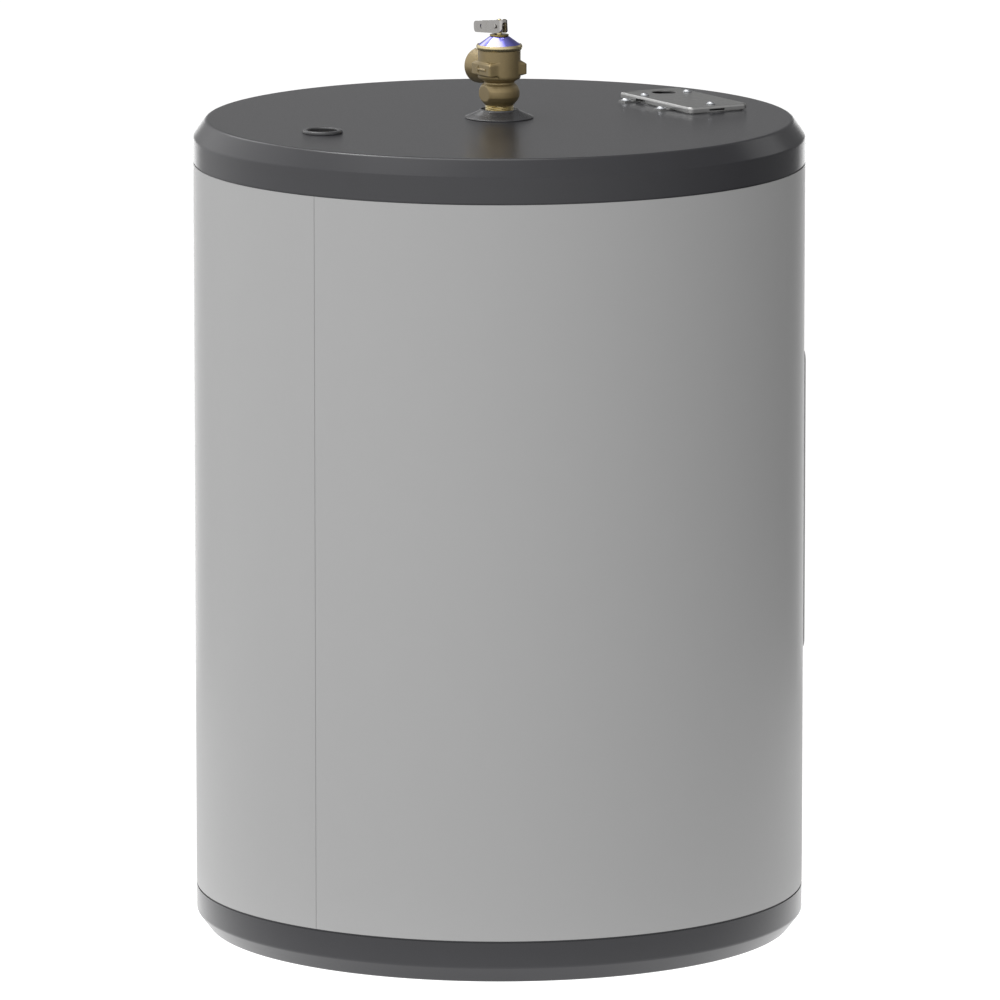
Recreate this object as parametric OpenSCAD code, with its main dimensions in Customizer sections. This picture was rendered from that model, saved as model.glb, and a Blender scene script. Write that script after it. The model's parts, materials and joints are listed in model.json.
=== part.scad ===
// Electric tank water heater, low and wide, about 100 litres.
// The origin is on the floor under the tank's axis, +Z is up and -Y is the front,
// where the control compartment and the junction box are.
// A "row angle" is measured about Z from -Y towards +X.

/* [Jacket] */
// Outer diameter of the painted jacket
jacket_d = 558.8; // [540:1:580]
// Thickness of the jacket's sheet steel
jacket_sheet = 0.8; // [0.6:0.1:1]
// Height from the floor to the flat of the top cap
body_h = 748.5; // [735:1:800]
// Row angle of the jacket's lap seam
seam_angle = 203.7; // [190:1:220]
// Gap that shows at the jacket's upper and lower edges
joint_gap = 1.6; // [0.4:0.1:3]

/* [Base pan] */
// Height of the base pan up to the jacket
base_h = 39; // [30:1:50]
// Height of the pan's chamfered foot
base_edge_h = 15.3; // [10:0.5:20]
// How far the foot's chamfer comes in
base_edge_in = 11.8; // [8:0.5:16]
// Sheet thickness of the base pan
base_sheet = 1.5; // [1.2:0.1:2]

/* [Top cap] */
// Height of the top cap above the jacket
cap_h = 39.4; // [32:0.5:46]
// Height of the cap's chamfered shoulder
cap_edge_h = 16; // [12:0.5:20]
// How far the shoulder's chamfer comes in
cap_edge_in = 11.3; // [8:0.5:16]
// Sheet thickness of the top cap
cap_sheet = 1.5; // [1.2:0.1:2]
// Radius of the bend between the wall and the chamfer, on cap and pan
edge_r = 4; // [3:0.5:12]
// Radius of the bend between the chamfer and the flat, on cap and pan
rim_r = 4; // [3:0.5:10]
// How far the cap's and the pan's lips reach inside the jacket
lip_h = 12; // [8:1:20]

/* [Tank] */
// Thickness of the insulation between the tank and the jacket's outside
insulation = 50.8; // [48:0.4:56]
// Thickness of the tank's shell
tank_sheet = 2.4; // [2:0.1:3]
// Thickness of the two dished heads
head_sheet = 3; // [2.5:0.1:4]
// Height of the shell's lower edge above the floor
tank_foot = 22; // [18:1:30]
// From the shell's upper edge up to the cap's flat
tank_drop = 76.5; // [74:1:90]
// Rise of the top head
top_rise = 44; // [36:1:46]
// Rise of the bottom head, which is dished up into the tank
bottom_rise = 40; // [30:1:50]
// Length of the skirt by which a head is welded into the shell
head_skirt = 28; // [20:1:36]
// Outer radius of a welded three-quarter-inch pipe spud
spud_r = 19; // [17:0.5:21]
// Radius over the three-quarter-inch taper thread
pipe_r = 13.35; // [13:0.05:13.6]

/* [Water connections] */
// Row angle of the hot and cold nipples
water_angle = 60; // [45:1:75]
// Height of the cold inlet
cold_z = 120; // [105:1:150]
// How far the hot outlet lies below the tank's upper edge
hot_drop = 72; // [50:1:110]
// How far the nipples stand out of the jacket
nipple_out = 45; // [30:1:60]
// Length of the thread on the nipples' free ends
nipple_thread = 20; // [14:1:22]
// Outer radius of that thread
thread_r = 13.1; // [12.8:0.05:13.2]
// Bore radius of the steel nipples
nipple_bore = 10.4; // [9.5:0.1:11]
// Wall of the nipples' plastic lining
liner_wall = 1.2; // [0.8:0.1:1.6]
// Length of the plastic tube inside the cold inlet
inlet_tube_len = 70; // [50:1:90]
// Wall of that tube
inlet_tube_wall = 1.6; // [1.2:0.1:2]
// Outer radius of the trim rings round the pipes
trim_ring_r = 25; // [22:1:30]

/* [Anode] */
// Centre of the anode port in the top cap, X
anode_x = -8; // [-20:1:10]
// Distance from the tank's rear wall to the centre of the anode port, along Y
anode_in = 39.6; // [34:0.2:54]
// Radius of the magnesium rod
anode_r = 10.5; // [8:0.5:12.5]
// Length of the magnesium rod
anode_len = 480; // [350:10:520]
// Hole radius of the port's ring
port_hole_r = 13.7; // [13:0.1:15]
// Outer radius of the port's ring
port_ring_r = 18.3; // [17.5:0.1:22]
// Height of the port's ring above the cap
port_ring_h = 3; // [2:0.5:5]

/* [Access panel] */
// Width of the access panel
panel_w = 229; // [215:1:240]
// Gap between the lower element's spud and the window's lower edge
gap_below = 1; // [0.5:0.5:8]
// Gap between the high-limit switch and the window's upper edge
gap_above = 4; // [2:0.5:12]
// How far the panel stands proud of the jacket
panel_proud = 4; // [3:0.5:6]
// Sheet thickness of the panel
panel_sheet = 0.9; // [0.7:0.1:1.2]
// Corner radius of the panel
panel_corner = 10; // [6:1:16]
// How far the panel laps over the edge of the jacket's window
panel_lap = 17; // [14:1:20]
// Distance of the panel screws from the panel's ends
panel_screw_in = 8; // [7:0.5:9]
// Wall of the foam dam round the control compartment
dam_wall = 12; // [8:1:16]
// Gap between the wires and the back of the panel's insulation
pad_gap = 3.6; // [2:0.2:6]

/* [Heating elements] */
// Height of the lower element
lower_element_z = 290; // [270:1:320]
// Gap between the lower thermostat and the spud of the upper element
stack_gap = 19; // [16:1:40]
// Radius of the element's screw thread
element_r = 16.6; // [16:0.1:17]
// Outer radius of an element spud
element_spud_r = 22; // [21:0.5:23]
// Size of the element's hexagon, across flats
element_hex = 38; // [36:1:40]
// Radius of the element's sheathed tube
sheath_r = 4; // [3:0.5:5]
// Half the distance between the two legs of the sheath
sheath_pitch = 10; // [8:0.5:12]
// How far the element reaches into the tank
element_len = 300; // [220:10:340]

/* [Thermostats] */
// Width of the thermostat bodies
thermostat_w = 56; // [50:1:60]
// Depth of the thermostat bodies
thermostat_t = 24; // [20:1:26]
// Radius of the temperature dials
dial_r = 9; // [7:0.5:10]
// Radius of the reset button
reset_r = 4; // [3:0.5:5]
// How far the reset button stands out
reset_out = 4; // [3:0.5:5]
// Radius of an insulated wire
wire_r = 1.7; // [1.2:0.1:2]

/* [Junction box] */
// Length of the junction box cover along X
jbox_cover_w = 127; // [118:1:136]
// Width of the junction box cover along Y
jbox_cover_d = 63; // [58:1:68]
// Height of the cover's folded edge
jbox_cover_h = 6; // [5:0.5:8]
// Corner radius of the cover
jbox_corner = 5; // [3:0.5:10]
// Centre of the cover, X
jbox_x = -5.5; // [-12:0.5:2]
// Distance from the jacket's front to the cover's centre
jbox_in = 86.9; // [82:0.1:100]
// Sheet thickness of the box and its cover
jbox_sheet = 1.2; // [1:0.1:1.5]
// Depth of the box below the cap
jbox_depth = 38; // [30:1:40]
// Hole radius of the conduit knockout
knockout_r = 11.1; // [11:0.1:14]
// Offset of the knockout from the cover's centre, X
knockout_dx = 40.5; // [36:0.5:44]
// Offset of the knockout from the cover's centre, Y
knockout_dy = -3.5; // [-8:0.5:2]

/* [Relief valve] */
// Radius of the valve's round body
valve_r = 19.5; // [18:0.5:21]
// Size of the valve's lower hexagon, across flats
valve_hex = 32; // [30:1:34]
// Radius of the outlet boss
outlet_r = 16.5; // [15.5:0.5:18]
// Distance from the valve's axis to the outlet's face
outlet_reach = 36; // [32:1:42]
// Radius of the outlet's threaded bore
outlet_bore = 12.35; // [12:0.05:12.6]
// Length of the outlet's threaded bore
outlet_depth = 14; // [11:1:15]
// Height of the outlet's axis above the cap
outlet_h = 44.5; // [43:0.5:46]
// Half length of the wrench block across the body
block_x = 15.2; // [14:0.2:17]
// Half width of the wrench block
block_y = 19.8; // [19:0.2:22]
// Radius of the lifting stem
stem_r = 2.3; // [2:0.1:2.6]
// Radius of the spring's coils, at the wire's middle
spring_r = 9; // [7.5:0.5:10]
// Radius of the spring's wire
spring_wire = 1.2; // [0.8:0.1:1.4]
// Radius of the trim cone's foot
trim_r = 31.3; // [28:0.5:36]
// Height of the trim cone
trim_h = 8.2; // [6:0.2:10]

/* [Relief lever] */
// Height of the lever's pin above the cap
pin_h = 84; // [83.5:0.1:85]
// Radius of the lever's pin
pin_r = 1.4; // [1.2:0.1:1.6]
// Width of the lever's bent strip
lever_w = 8.5; // [8.4:0.1:10]
// Thickness of the strip
lever_sheet = 1.2; // [0.8:0.1:1.2]
// Reach of the lever in front of its pin
lever_tip = 39.6; // [32:1:46]
// Radius of the cam at the lever's bent end
cam_r = 6.3; // [6:0.1:6.4]
// How far the cam's centre lies behind the pin
cam_back = 3.6; // [3:0.1:4]
// Droop of the lever at rest, in degrees
lever_droop = 6; // [0:1:7]

/* [Drain valve] */
// Row angle of the drain valve
drain_angle = 30; // [20:1:40]
// Height of the drain valve
drain_z = 88; // [84:1:95]
// Radius of the valve's barrel
barrel_r = 12; // [11:0.5:14]
// Radius over the hose thread
hose_r = 13.5; // [13.2:0.05:13.6]
// Length of the hose thread
hose_len = 13; // [11:1:16]
// Radius of the drain valve's handle
handle_r = 22; // [18:1:26]
// Radius of the drain valve's stem
drain_stem_r = 4; // [3.5:0.1:4.5]

/* [Fits] */
// Gap between pieces that are welded, glued or pressed together
seat = 0.1; // [0.05:0.01:0.15]
// Radial clearance of a turning pin or stem
running = 0.06; // [0.03:0.01:0.1]
// Gap between pieces that move past each other
clear = 0.4; // [0.3:0.05:0.5]

/* [Hidden] */
$fn = 96;
fine_fn = 360;

// Casing
jacket_r = jacket_d / 2;
jacket_in = jacket_r - jacket_sheet;
lip_r = jacket_in - seat;
jacket_foot = base_h + joint_gap / 2;
jacket_top = body_h - cap_h - joint_gap / 2;
lip_bury = 3;

// Tank
tank_r = jacket_r - insulation;
tank_in = tank_r - tank_sheet;
tank_top = body_h - tank_drop;
head_r = tank_in - seat;
bottom_rim = tank_foot + head_skirt;
side_spud_in = tank_in - 4;
side_spud_out = tank_r + 11;
spud_top = body_h - cap_sheet - 5;
thread_reach = 20;
hot_z = tank_top - hot_drop;
nipple_end = jacket_r + nipple_out;

// Anode
anode_y = tank_r - anode_in;
anode_far = norm([anode_x, anode_y]);
anode_spud_top = body_h - 36;
plug_head = 10;
plug_flats = 27;
port_cap_r = port_ring_r - 1;

// Heights of the controls above their element
thermostat_base = 30;
upper_body_h = 30;
limit_base = 61;
limit_h = 40;
lower_body_h = 44;
upper_element_z = lower_element_z + thermostat_base + lower_body_h + stack_gap + element_spud_r;

// Control compartment
window_w = panel_w - 2 * panel_lap;
window_foot = lower_element_z - element_spud_r - gap_below;
window_head = upper_element_z + limit_base + limit_h + gap_above;
window_h = window_head - window_foot;
panel_h = window_h + 2 * panel_lap;
panel_z = (window_head + window_foot) / 2;
dam_in_w = window_w + 2 * seat;
dam_in_h = window_h + 2 * seat;
panel_r = jacket_r + panel_proud;
panel_screw_z = panel_h / 2 - panel_screw_in;
panel_screw_r = 1.9;
panel_screw_len = 9;
panel_screw_flange = 5.2;
panel_screw_hex = 6.4;
channel_w = 22;
channel_in = tank_r + 6;
channel_out = jacket_in - 14;
channel_mid = (channel_in + channel_out) / 2 + 3;

// Elements, measured outwards from the tank's axis
spud_face = tank_r + 11.4;
gasket_t = 2.4;
hex_t = 8;
hex_face = spud_face + gasket_t + seat + hex_t;
block_t = 5.4;
block_face = hex_face + block_t;
element_screw_t = 2;
terminal_dx = 7;
wire_plane = block_face + element_screw_t + seat + wire_r;
pad_back = wire_plane + wire_r + pad_gap;
block_r = 13.5;

// Thermostats
sensor_face = tank_r + 0.6;
thermostat_face = sensor_face + thermostat_t;
thermostat_screw_t = 2.4;
limit_w = 46;
upper_dial_z = upper_element_z + 45;
lower_dial_z = lower_element_z + 52;
reset_z = upper_element_z + 82;
dial_t = 3;
reset_travel = 1.5;
screw_dx = 21;
link_wire_x = screw_dx + 6;
near_wire_x = screw_dx + 12;
far_wire_x = near_wire_x + 5;
limit_dx = 17;
bracket_sheet = 0.8;
bracket_lip = 2.6;
terminal_plane = thermostat_face + thermostat_screw_t + seat + wire_r;

// Junction box, measured from the cap's flat
jbox_y = jbox_in - jacket_r;
box_w = jbox_cover_w - 17;
box_d = jbox_cover_d - 15;
box_flange = 5;
box_foot = body_h - jbox_depth;
knockout_dish = 0.4;
knockout_lip = 1.3;
wire_hole_r = 9;
wire_hole_z = body_h - 20;
cover_screws_at = [[28.5, 24.5], [30.5, -22.5], [-51.5, 1.5]];
box_screws_at = [[37.1, 39.5], [-26.1, 39.5]];

// Relief valve heights above the cap's flat
hex_foot = 11.9;
hex_top = 32.5;
hex_chamfer = 4.7;
neck_r = 13.9;
seat_h = 36.7;
disc_h = 3.5;
chamber_r = 15;
chamber_foot = 37;
rim_foot = 63.6;
rim_top = 67.7;
rim_lip = 1.7;
bonnet_r = valve_r + 0.7;
bonnet_top = 75;
bonnet_neck = 9;
bonnet_sheet = 1.2;
washer_t = 1.5;
washer_r = 8.7;
stem_top = 88;
nub_r = 2.2;
nub_h = 2.8;
slot_top = 3.6;
pin_head = 0.6;
inlet_bore = 8.5;
block_foot = 40.3;
block_h = 11;
valve_foot = -26;
probe_len = 80;
probe_r = 3.2;

// Trim rings: the jacket falls away under a ring by no more than the step.
trim_step = jacket_r + 1.3 * trim_ring_r * trim_ring_r / jacket_d;
trim_face = trim_step + 2;

// Drain valve, measured outwards from the tank's axis
drain_hex = trim_face + seat;
drain_hex_t = 6;
drain_seat = drain_hex + drain_hex_t + 6;
drain_mouth = drain_seat + 2 * barrel_r;
hose_at = drain_seat + barrel_r - 1;
hose_face = barrel_r + 6 + hose_len;
drain_nut_t = 10;
drain_out = drain_mouth + drain_nut_t;
handle_in = drain_out + 6;
handle_t = 7;
drain_washer_t = 3;
drain_washer_r = 7.5;
drain_bore = 6.5;
hose_bore = 8.5;
chamber_wall = 3;

function unit(v) = v / norm(v);

// Arc of radius r, in n chords, that rounds corner b between a and c.
function fillet(a, b, c, r, n = 5) =
    let (u = unit(a - b), v = unit(c - b), half = acos(u * v) / 2)
    let (centre = b + unit(u + v) * r / sin(half))
    let (p = b + u * r / tan(half) - centre, q = b + v * r / tan(half) - centre)
    let (from = atan2(p.y, p.x), turn = (atan2(q.y, q.x) - from + 540) % 360 - 180)
    [for (i = [0 : n]) centre + r * [cos(from + turn * i / n), sin(from + turn * i / n)]];

// Corner p moved inwards by w, between lines whose inward unit normals are a and b.
function inset(p, a, b, w) = p + w * (a + b) / (1 + a * b);

// Section of a dished cover from its wall to the axis, moved inwards by w. The flat is at
// height 0 and the wall hangs down from it.
function cover_line(wall_h, edge_h, edge_in, w) =
    let (wall = [-1, 0], flat = [0, -1], slope = unit([-edge_h, -edge_in]))
    let (low = inset([jacket_r, -edge_h], wall, slope, w))
    let (high = inset([jacket_r - edge_in, 0], slope, flat, w))
    concat(
        [[jacket_r - w, -wall_h]],
        fillet([jacket_r - w, -wall_h], low, high, edge_r - w),
        fillet(low, high, [0, -w], rim_r - w),
        [[0, -w]]);

function reverse(list) = [for (i = [len(list) - 1 : -1 : 0]) list[i]];
function place(points, way, z) = [for (p = points) [p.x, z + way * p.y]];

// Sphere radius of a dish of rim radius r and rise h.
function dish_r(r, h) = (r * r + h * h) / (2 * h);

// Arc from the rim of a dish to the axis, w outside its outer surface.
function dish_line(r, h, rim_z, w, n = 10) =
    let (s = dish_r(r, h) + w, low = rim_z + h - dish_r(r, h), top = asin((r + w) / s))
    [for (i = [0 : n]) [s * sin(top * (n - i) / n), low + s * cos(top * (n - i) / n)]];

// Height of the top head's outer surface at radius r.
function top_head_z(r) =
    tank_top + top_rise - dish_r(head_r, top_rise) + sqrt(pow(dish_r(head_r, top_rise), 2) - r * r);

// Centre line of a wire: the corners of a route rounded with a reach of b.
function round_route(route, b, n = 4) = concat(
    [route[0]],
    [for (i = [1 : len(route) - 2]) each
        let (p = route[i - 1], q = route[i], s = route[i + 1])
        let (reach = min(b, norm(p - q) / 2.2, norm(s - q) / 2.2))
        let (from = q + unit(p - q) * reach, to = q + unit(s - q) * reach)
        [for (j = [0 : n]) let (t = j / n)
            (1 - t) * (1 - t) * from + 2 * t * (1 - t) * q + t * t * to]],
    [route[len(route) - 1]]);

function tangent(line, i) =
    unit(line[min(i + 1, len(line) - 1)] - line[max(i - 1, 0)]);
function flatten(n, t) = unit(n - t * (n * t));

// Side vectors carried along a line without twist.
function sides(line, first, i = 0) =
    let (here = flatten(first, tangent(line, i)))
    i == len(line) - 1 ? [here] : concat([here], sides(line, here, i + 1));

// Solid tube of radius r along a line of points.
module sweep(line, r, n = 8, first = [1, 0.3, 0.2]) {
    side = sides(line, first);
    rings = [for (i = [0 : len(line) - 1]) each
        let (t = tangent(line, i), a = side[i], b = cross(t, a))
        [for (k = [0 : n - 1]) line[i] + r * (a * cos(360 * k / n) + b * sin(360 * k / n))]];
    last = n * (len(line) - 1);
    walls = [for (i = [0 : len(line) - 2]) each [for (k = [0 : n - 1])
        let (next = (k + 1) % n)
        [i * n + k, (i + 1) * n + k, (i + 1) * n + next, i * n + next]]];
    polyhedron(rings, concat(
        [[for (k = [0 : n - 1]) k]], walls, [[for (k = [n - 1 : -1 : 0]) last + k]]));
}

module wire(route) sweep(round_route(route, 9), wire_r);

// Turns a piece drawn at the front to a row angle and lifts it.
module at(angle, z) rotate([0, 0, angle]) translate([0, 0, z]) children();

// Rod that points outwards at the front, from distance a to distance b.
module rod(a, b, r, r2 = 0) translate([0, -a, 0]) rotate([90, 0, 0])
    cylinder(h = b - a, r1 = r, r2 = r2 == 0 ? r : r2);
module ring_rod(a, b, r, hole) difference() {
    rod(a, b, r);
    rod(a - 1, b + 1, hole);
}
module hex_rod(a, b, flats) translate([0, -a, 0]) rotate([90, 0, 0])
    cylinder(h = b - a, r = flats / sqrt(3), $fn = 6);

module ring(r, hole, h) difference() {
    cylinder(h = h, r = r, $fn = r > 100 ? fine_fn : $fn);
    translate([0, 0, -1]) cylinder(h = h + 2, r = hole, $fn = r > 100 ? fine_fn : $fn);
}

module rounded_plate(w, d, r) {
    square([w - 2 * r, d], center = true);
    square([w, d - 2 * r], center = true);
    for (x = [-1, 1], y = [-1, 1]) translate([x * (w / 2 - r), y * (d / 2 - r)]) circle(r);
}

// Upright block at the front, from distance a to distance b.
module front_block(w, h, a, b) translate([-w / 2, -b, -h / 2]) cube([w, b - a, h]);
module front_plate(w, h, r, a, b) translate([0, -a, 0]) rotate([90, 0, 0])
    linear_extrude(b - a) rounded_plate(w, h, r);

module dished_cover(wall_h, edge_h, edge_in, sheet, way, z) rotate_extrude() polygon(concat(
    place(cover_line(wall_h, edge_h, edge_in, 0), way, z),
    place(reverse(cover_line(wall_h, edge_h, edge_in, sheet)), way, z)));

module base_pan() color("#47474b") {
    dished_cover(base_h - joint_gap / 2, base_edge_h, base_edge_in, base_sheet, -1, 0);
    translate([0, 0, base_h - lip_bury]) ring(lip_r, lip_r - base_sheet, lip_h + lip_bury);
}

module tank_support_ring() color("#e8e6df") translate([0, 0, base_sheet])
    ring(tank_r + 12, tank_r - 40, tank_foot - base_sheet);

module jacket() color("#b4b4b4") difference() {
    translate([0, 0, jacket_foot]) ring(jacket_r, jacket_in, jacket_top - jacket_foot);
    at(seam_angle, (jacket_foot + jacket_top) / 2)
        front_block(0.8, jacket_top - jacket_foot + 2, jacket_in + jacket_sheet / 2, jacket_r + 1);
    at(0, panel_z) front_plate(window_w, window_h, panel_corner, jacket_in / 2, jacket_r + 1);
    for (z = [-1, 1]) at(0, panel_z + z * panel_screw_z)
        rod(jacket_in / 2, jacket_r + 1, panel_screw_r + clear);
    for (z = [cold_z, hot_z]) at(water_angle, z) rod(jacket_in / 2, jacket_r + 1, pipe_r + 3);
    at(drain_angle, drain_z) rod(jacket_in / 2, jacket_r + 1, pipe_r + 3);
}

module top_cap() color("#4b4b4f") difference() {
    union() {
        dished_cover(cap_h - joint_gap / 2, cap_edge_h, cap_edge_in, cap_sheet, 1, body_h);
        translate([0, 0, body_h - cap_h - lip_h]) ring(lip_r, lip_r - cap_sheet, lip_h + lip_bury);
    }
    translate([0, 0, spud_top]) cylinder(h = 20, r = spud_r + 2);
    translate([anode_x, anode_y, spud_top]) cylinder(h = 20, r = port_cap_r);
    translate([jbox_x, jbox_y, spud_top]) linear_extrude(20) square([box_w + 1, box_d + 1], center = true);
    for (p = box_screws_at) translate([jbox_x + p.x, jbox_y + p.y, spud_top]) cylinder(h = 20, r = 2);
}

// Section of the foam: outside it follows the jacket, the lips and the cap, inside the tank.
module foam_section() {
    lip_in = lip_r - cap_sheet - seat;
    wall_top = cap_h - joint_gap / 2;
    polygon(concat(
        [[tank_r + seat, tank_foot], [lip_r - base_sheet - seat, tank_foot]],
        [[lip_r - base_sheet - seat, base_h + lip_h + seat], [lip_r, base_h + lip_h + seat]],
        [[lip_r, body_h - cap_h - lip_h - seat], [lip_in, body_h - cap_h - lip_h - seat]],
        [[lip_in, body_h - cap_h + lip_bury + seat]],
        place(cover_line(cap_h - lip_bury - seat, cap_edge_h, cap_edge_in, cap_sheet + seat), 1, body_h),
        reverse(dish_line(head_r, top_rise, tank_top, seat)),
        [[tank_r + seat, tank_top + seat]]));
}

module foam_insulation() color("#e9d8a6") difference() {
    rotate_extrude() foam_section();
    translate([0, 0, tank_top]) cylinder(h = 100, r = spud_r + seat + 1);
    translate([anode_x, anode_y, tank_top - 20]) cylinder(h = 120, r = spud_r + seat);
    translate([jbox_x, jbox_y, box_foot - seat])
        linear_extrude(100) square([box_w + 2 * seat, box_d + 2 * seat], center = true);
    for (p = box_screws_at) translate([jbox_x + p.x, jbox_y + p.y, body_h - 15]) cylinder(h = 20, r = 3);
    at(0, panel_z)
        front_block(dam_in_w + 2 * dam_wall + 2 * seat, dam_in_h + 2 * dam_wall + 2 * seat, 0, 2 * jacket_r);
    translate([-channel_w / 2, -channel_out, panel_z])
        cube([channel_w, channel_out - channel_in, wire_hole_z + wire_hole_r + 2 - panel_z]);
    translate([-channel_w / 2, -channel_out, wire_hole_z - wire_hole_r - 2])
        cube([channel_w, channel_out + jbox_y, 2 * wire_hole_r + 4]);
    for (z = [cold_z, hot_z]) at(water_angle, z) rod(0, 2 * jacket_r, spud_r + seat);
    at(drain_angle, drain_z) rod(0, 2 * jacket_r, spud_r + seat);
}

module control_foam_dam() color("#f1efe8") difference() {
    intersection() {
        at(0, panel_z) front_block(dam_in_w + 2 * dam_wall, dam_in_h + 2 * dam_wall, 0, 2 * jacket_r);
        translate([0, 0, panel_z - panel_h]) ring(lip_r, tank_r + seat, 2 * panel_h);
    }
    at(0, panel_z) front_block(dam_in_w, dam_in_h, 0, 2 * jacket_r);
    translate([-channel_w / 2, -channel_out, panel_z])
        cube([channel_w, channel_out - channel_in, panel_h]);
    for (z = [-1, 1]) at(0, panel_z + z * panel_screw_z) rod(0, 2 * jacket_r, panel_screw_r + clear);
}

// Pan-shaped panel that follows the jacket and laps over its window.
module access_panel() color("#b9b9b9") difference() {
    intersection() {
        at(0, panel_z) front_plate(panel_w, panel_h, panel_corner, tank_r, 2 * jacket_r);
        translate([0, 0, panel_z - panel_h]) ring(panel_r, jacket_r + clear, 2 * panel_h);
    }
    intersection() {
        at(0, panel_z) front_plate(panel_w - 2 * panel_sheet, panel_h - 2 * panel_sheet,
            panel_corner - panel_sheet, tank_r, 2 * jacket_r);
        translate([0, 0, panel_z - panel_h])
            cylinder(h = 2 * panel_h, r = panel_r - panel_sheet, $fn = fine_fn);
    }
    for (z = [-1, 1]) at(0, panel_z + z * panel_screw_z) rod(0, 2 * jacket_r, panel_screw_r + seat);
}

module access_panel_screws() color("#c8c8c8") for (z = [-1, 1])
    at(0, panel_z + z * panel_screw_z) {
        rod(jacket_r - panel_screw_len, panel_r + 1, panel_screw_r);
        rod(panel_r + seat, panel_r + 1.2, panel_screw_flange);
        hex_rod(panel_r + 1, panel_r + 4.6, panel_screw_hex);
    }

module panel_insulation() color("#f4e7b0") intersection() {
    at(0, panel_z) front_plate(window_w - 10, window_h - 10, panel_corner, pad_back, 2 * jacket_r);
    translate([0, 0, panel_z - panel_h])
        cylinder(h = 2 * panel_h, r = panel_r - panel_sheet - seat, $fn = fine_fn);
}

module tank_shell() color("#3f5f8a") difference() {
    translate([0, 0, tank_foot]) ring(tank_r, tank_in, tank_top - tank_foot);
    for (z = [cold_z, hot_z]) at(water_angle, z) rod(tank_r / 2, tank_r + 5, spud_r + seat);
    at(drain_angle, drain_z) rod(tank_r / 2, tank_r + 5, spud_r + seat);
    for (z = [lower_element_z, upper_element_z]) at(0, z)
        rod(tank_r / 2, tank_r + 5, element_spud_r + seat);
}

module head_solid(rim_z, rise) {
    inner = dish_r(head_r, rise) - head_sheet;
    low = rim_z + rise - dish_r(head_r, rise);
    rim = asin((head_r - head_sheet) / inner);
    rotate_extrude() polygon(concat(
        [[head_r, rim_z - head_skirt]],
        dish_line(head_r, rise, rim_z, 0),
        reverse([for (i = [0 : 10]) [inner * sin(rim * (10 - i) / 10), low + inner * cos(rim * (10 - i) / 10)]]),
        [[head_r - head_sheet, rim_z - head_skirt]]));
}

module top_head() color("#3f5f8a") difference() {
    head_solid(tank_top, top_rise);
    translate([0, 0, tank_top]) cylinder(h = 100, r = spud_r + seat);
    translate([anode_x, anode_y, tank_top - 30]) cylinder(h = 130, r = spud_r + seat);
}

module bottom_head() color("#3f5f8a") head_solid(bottom_rim, bottom_rise);

// The five welded spuds: relief valve, anode, cold, hot and drain.
module pipe_spuds() color("#5a5f66") {
    translate([0, 0, tank_top + top_rise - head_sheet - 4])
        ring(spud_r, pipe_r + seat, spud_top - tank_top - top_rise + head_sheet + 4);
    translate([anode_x, anode_y, top_head_z(anode_far) - head_sheet - 7])
        ring(spud_r, pipe_r + seat, anode_spud_top - top_head_z(anode_far) + head_sheet + 7);
    for (z = [cold_z, hot_z]) at(water_angle, z)
        ring_rod(side_spud_in, side_spud_out, spud_r, pipe_r + seat);
    at(drain_angle, drain_z) ring_rod(side_spud_in, side_spud_out, spud_r, pipe_r + seat);
}

module element_spuds() color("#5a5f66") for (z = [lower_element_z, upper_element_z])
    at(0, z) ring_rod(tank_in - 3, spud_face, element_spud_r, element_r + seat);

module anode_plug() color("#9a9a9c") translate([anode_x, anode_y, 0]) {
    translate([0, 0, anode_spud_top - thread_reach]) cylinder(h = thread_reach + 1, r = pipe_r);
    translate([0, 0, anode_spud_top + 1]) cylinder(h = plug_head, r = plug_flats / sqrt(3), $fn = 6);
}

module anode_rod() color("#c9c9c6")
    translate([anode_x, anode_y, anode_spud_top - thread_reach - anode_len]) cylinder(h = anode_len, r = anode_r);

module anode_port_ring() color("#2f2f31") translate([anode_x, anode_y, body_h]) rotate_extrude() {
    translate([port_hole_r, -6]) square([port_cap_r - seat - port_hole_r, 6 + port_ring_h / 2]);
    polygon(concat(
        [[port_hole_r, seat], [port_ring_r, seat]],
        fillet([port_ring_r, seat], [port_ring_r, port_ring_h], [port_hole_r, port_ring_h], 1.8),
        fillet([port_ring_r, port_ring_h], [port_hole_r, port_ring_h], [port_hole_r, seat], 1.2)));
}

// Plastic tube that carries the cold water in and sends it down.
module cold_inlet_tube() color("#e5e5e0") at(water_angle, cold_z) {
    tube_r = pipe_r - 4.4;
    slot_pitch = inlet_tube_len / 6;
    difference() {
        union() {
            rod(side_spud_in - inlet_tube_len, side_spud_in - 1, tube_r);
            rod(side_spud_in - 5, side_spud_in - 1, pipe_r + 3);
        }
        rod(side_spud_in - inlet_tube_len + 4, side_spud_in + 1, tube_r - inlet_tube_wall);
        for (i = [1 : 4]) translate([-2.5, -side_spud_in + (i + 0.3) * slot_pitch, -tube_r - 1])
            cube([5, slot_pitch - 5, tube_r]);
    }
}

module nipple(z) at(water_angle, z) difference() {
    union() {
        rod(side_spud_out - thread_reach + 5, nipple_end - nipple_thread, pipe_r);
        rod(nipple_end - nipple_thread - 1, nipple_end, thread_r);
    }
    rod(side_spud_out - thread_reach, nipple_end + 1, nipple_bore);
}
module cold_nipple() color("#b9bcc0") nipple(cold_z);
module hot_nipple() color("#b9bcc0") nipple(hot_z);

module nipple_liners() color("#f2f2ee") for (z = [cold_z, hot_z]) at(water_angle, z)
    ring_rod(side_spud_out - thread_reach + 5, nipple_end, nipple_bore - seat, nipple_bore - seat - liner_wall);

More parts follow.
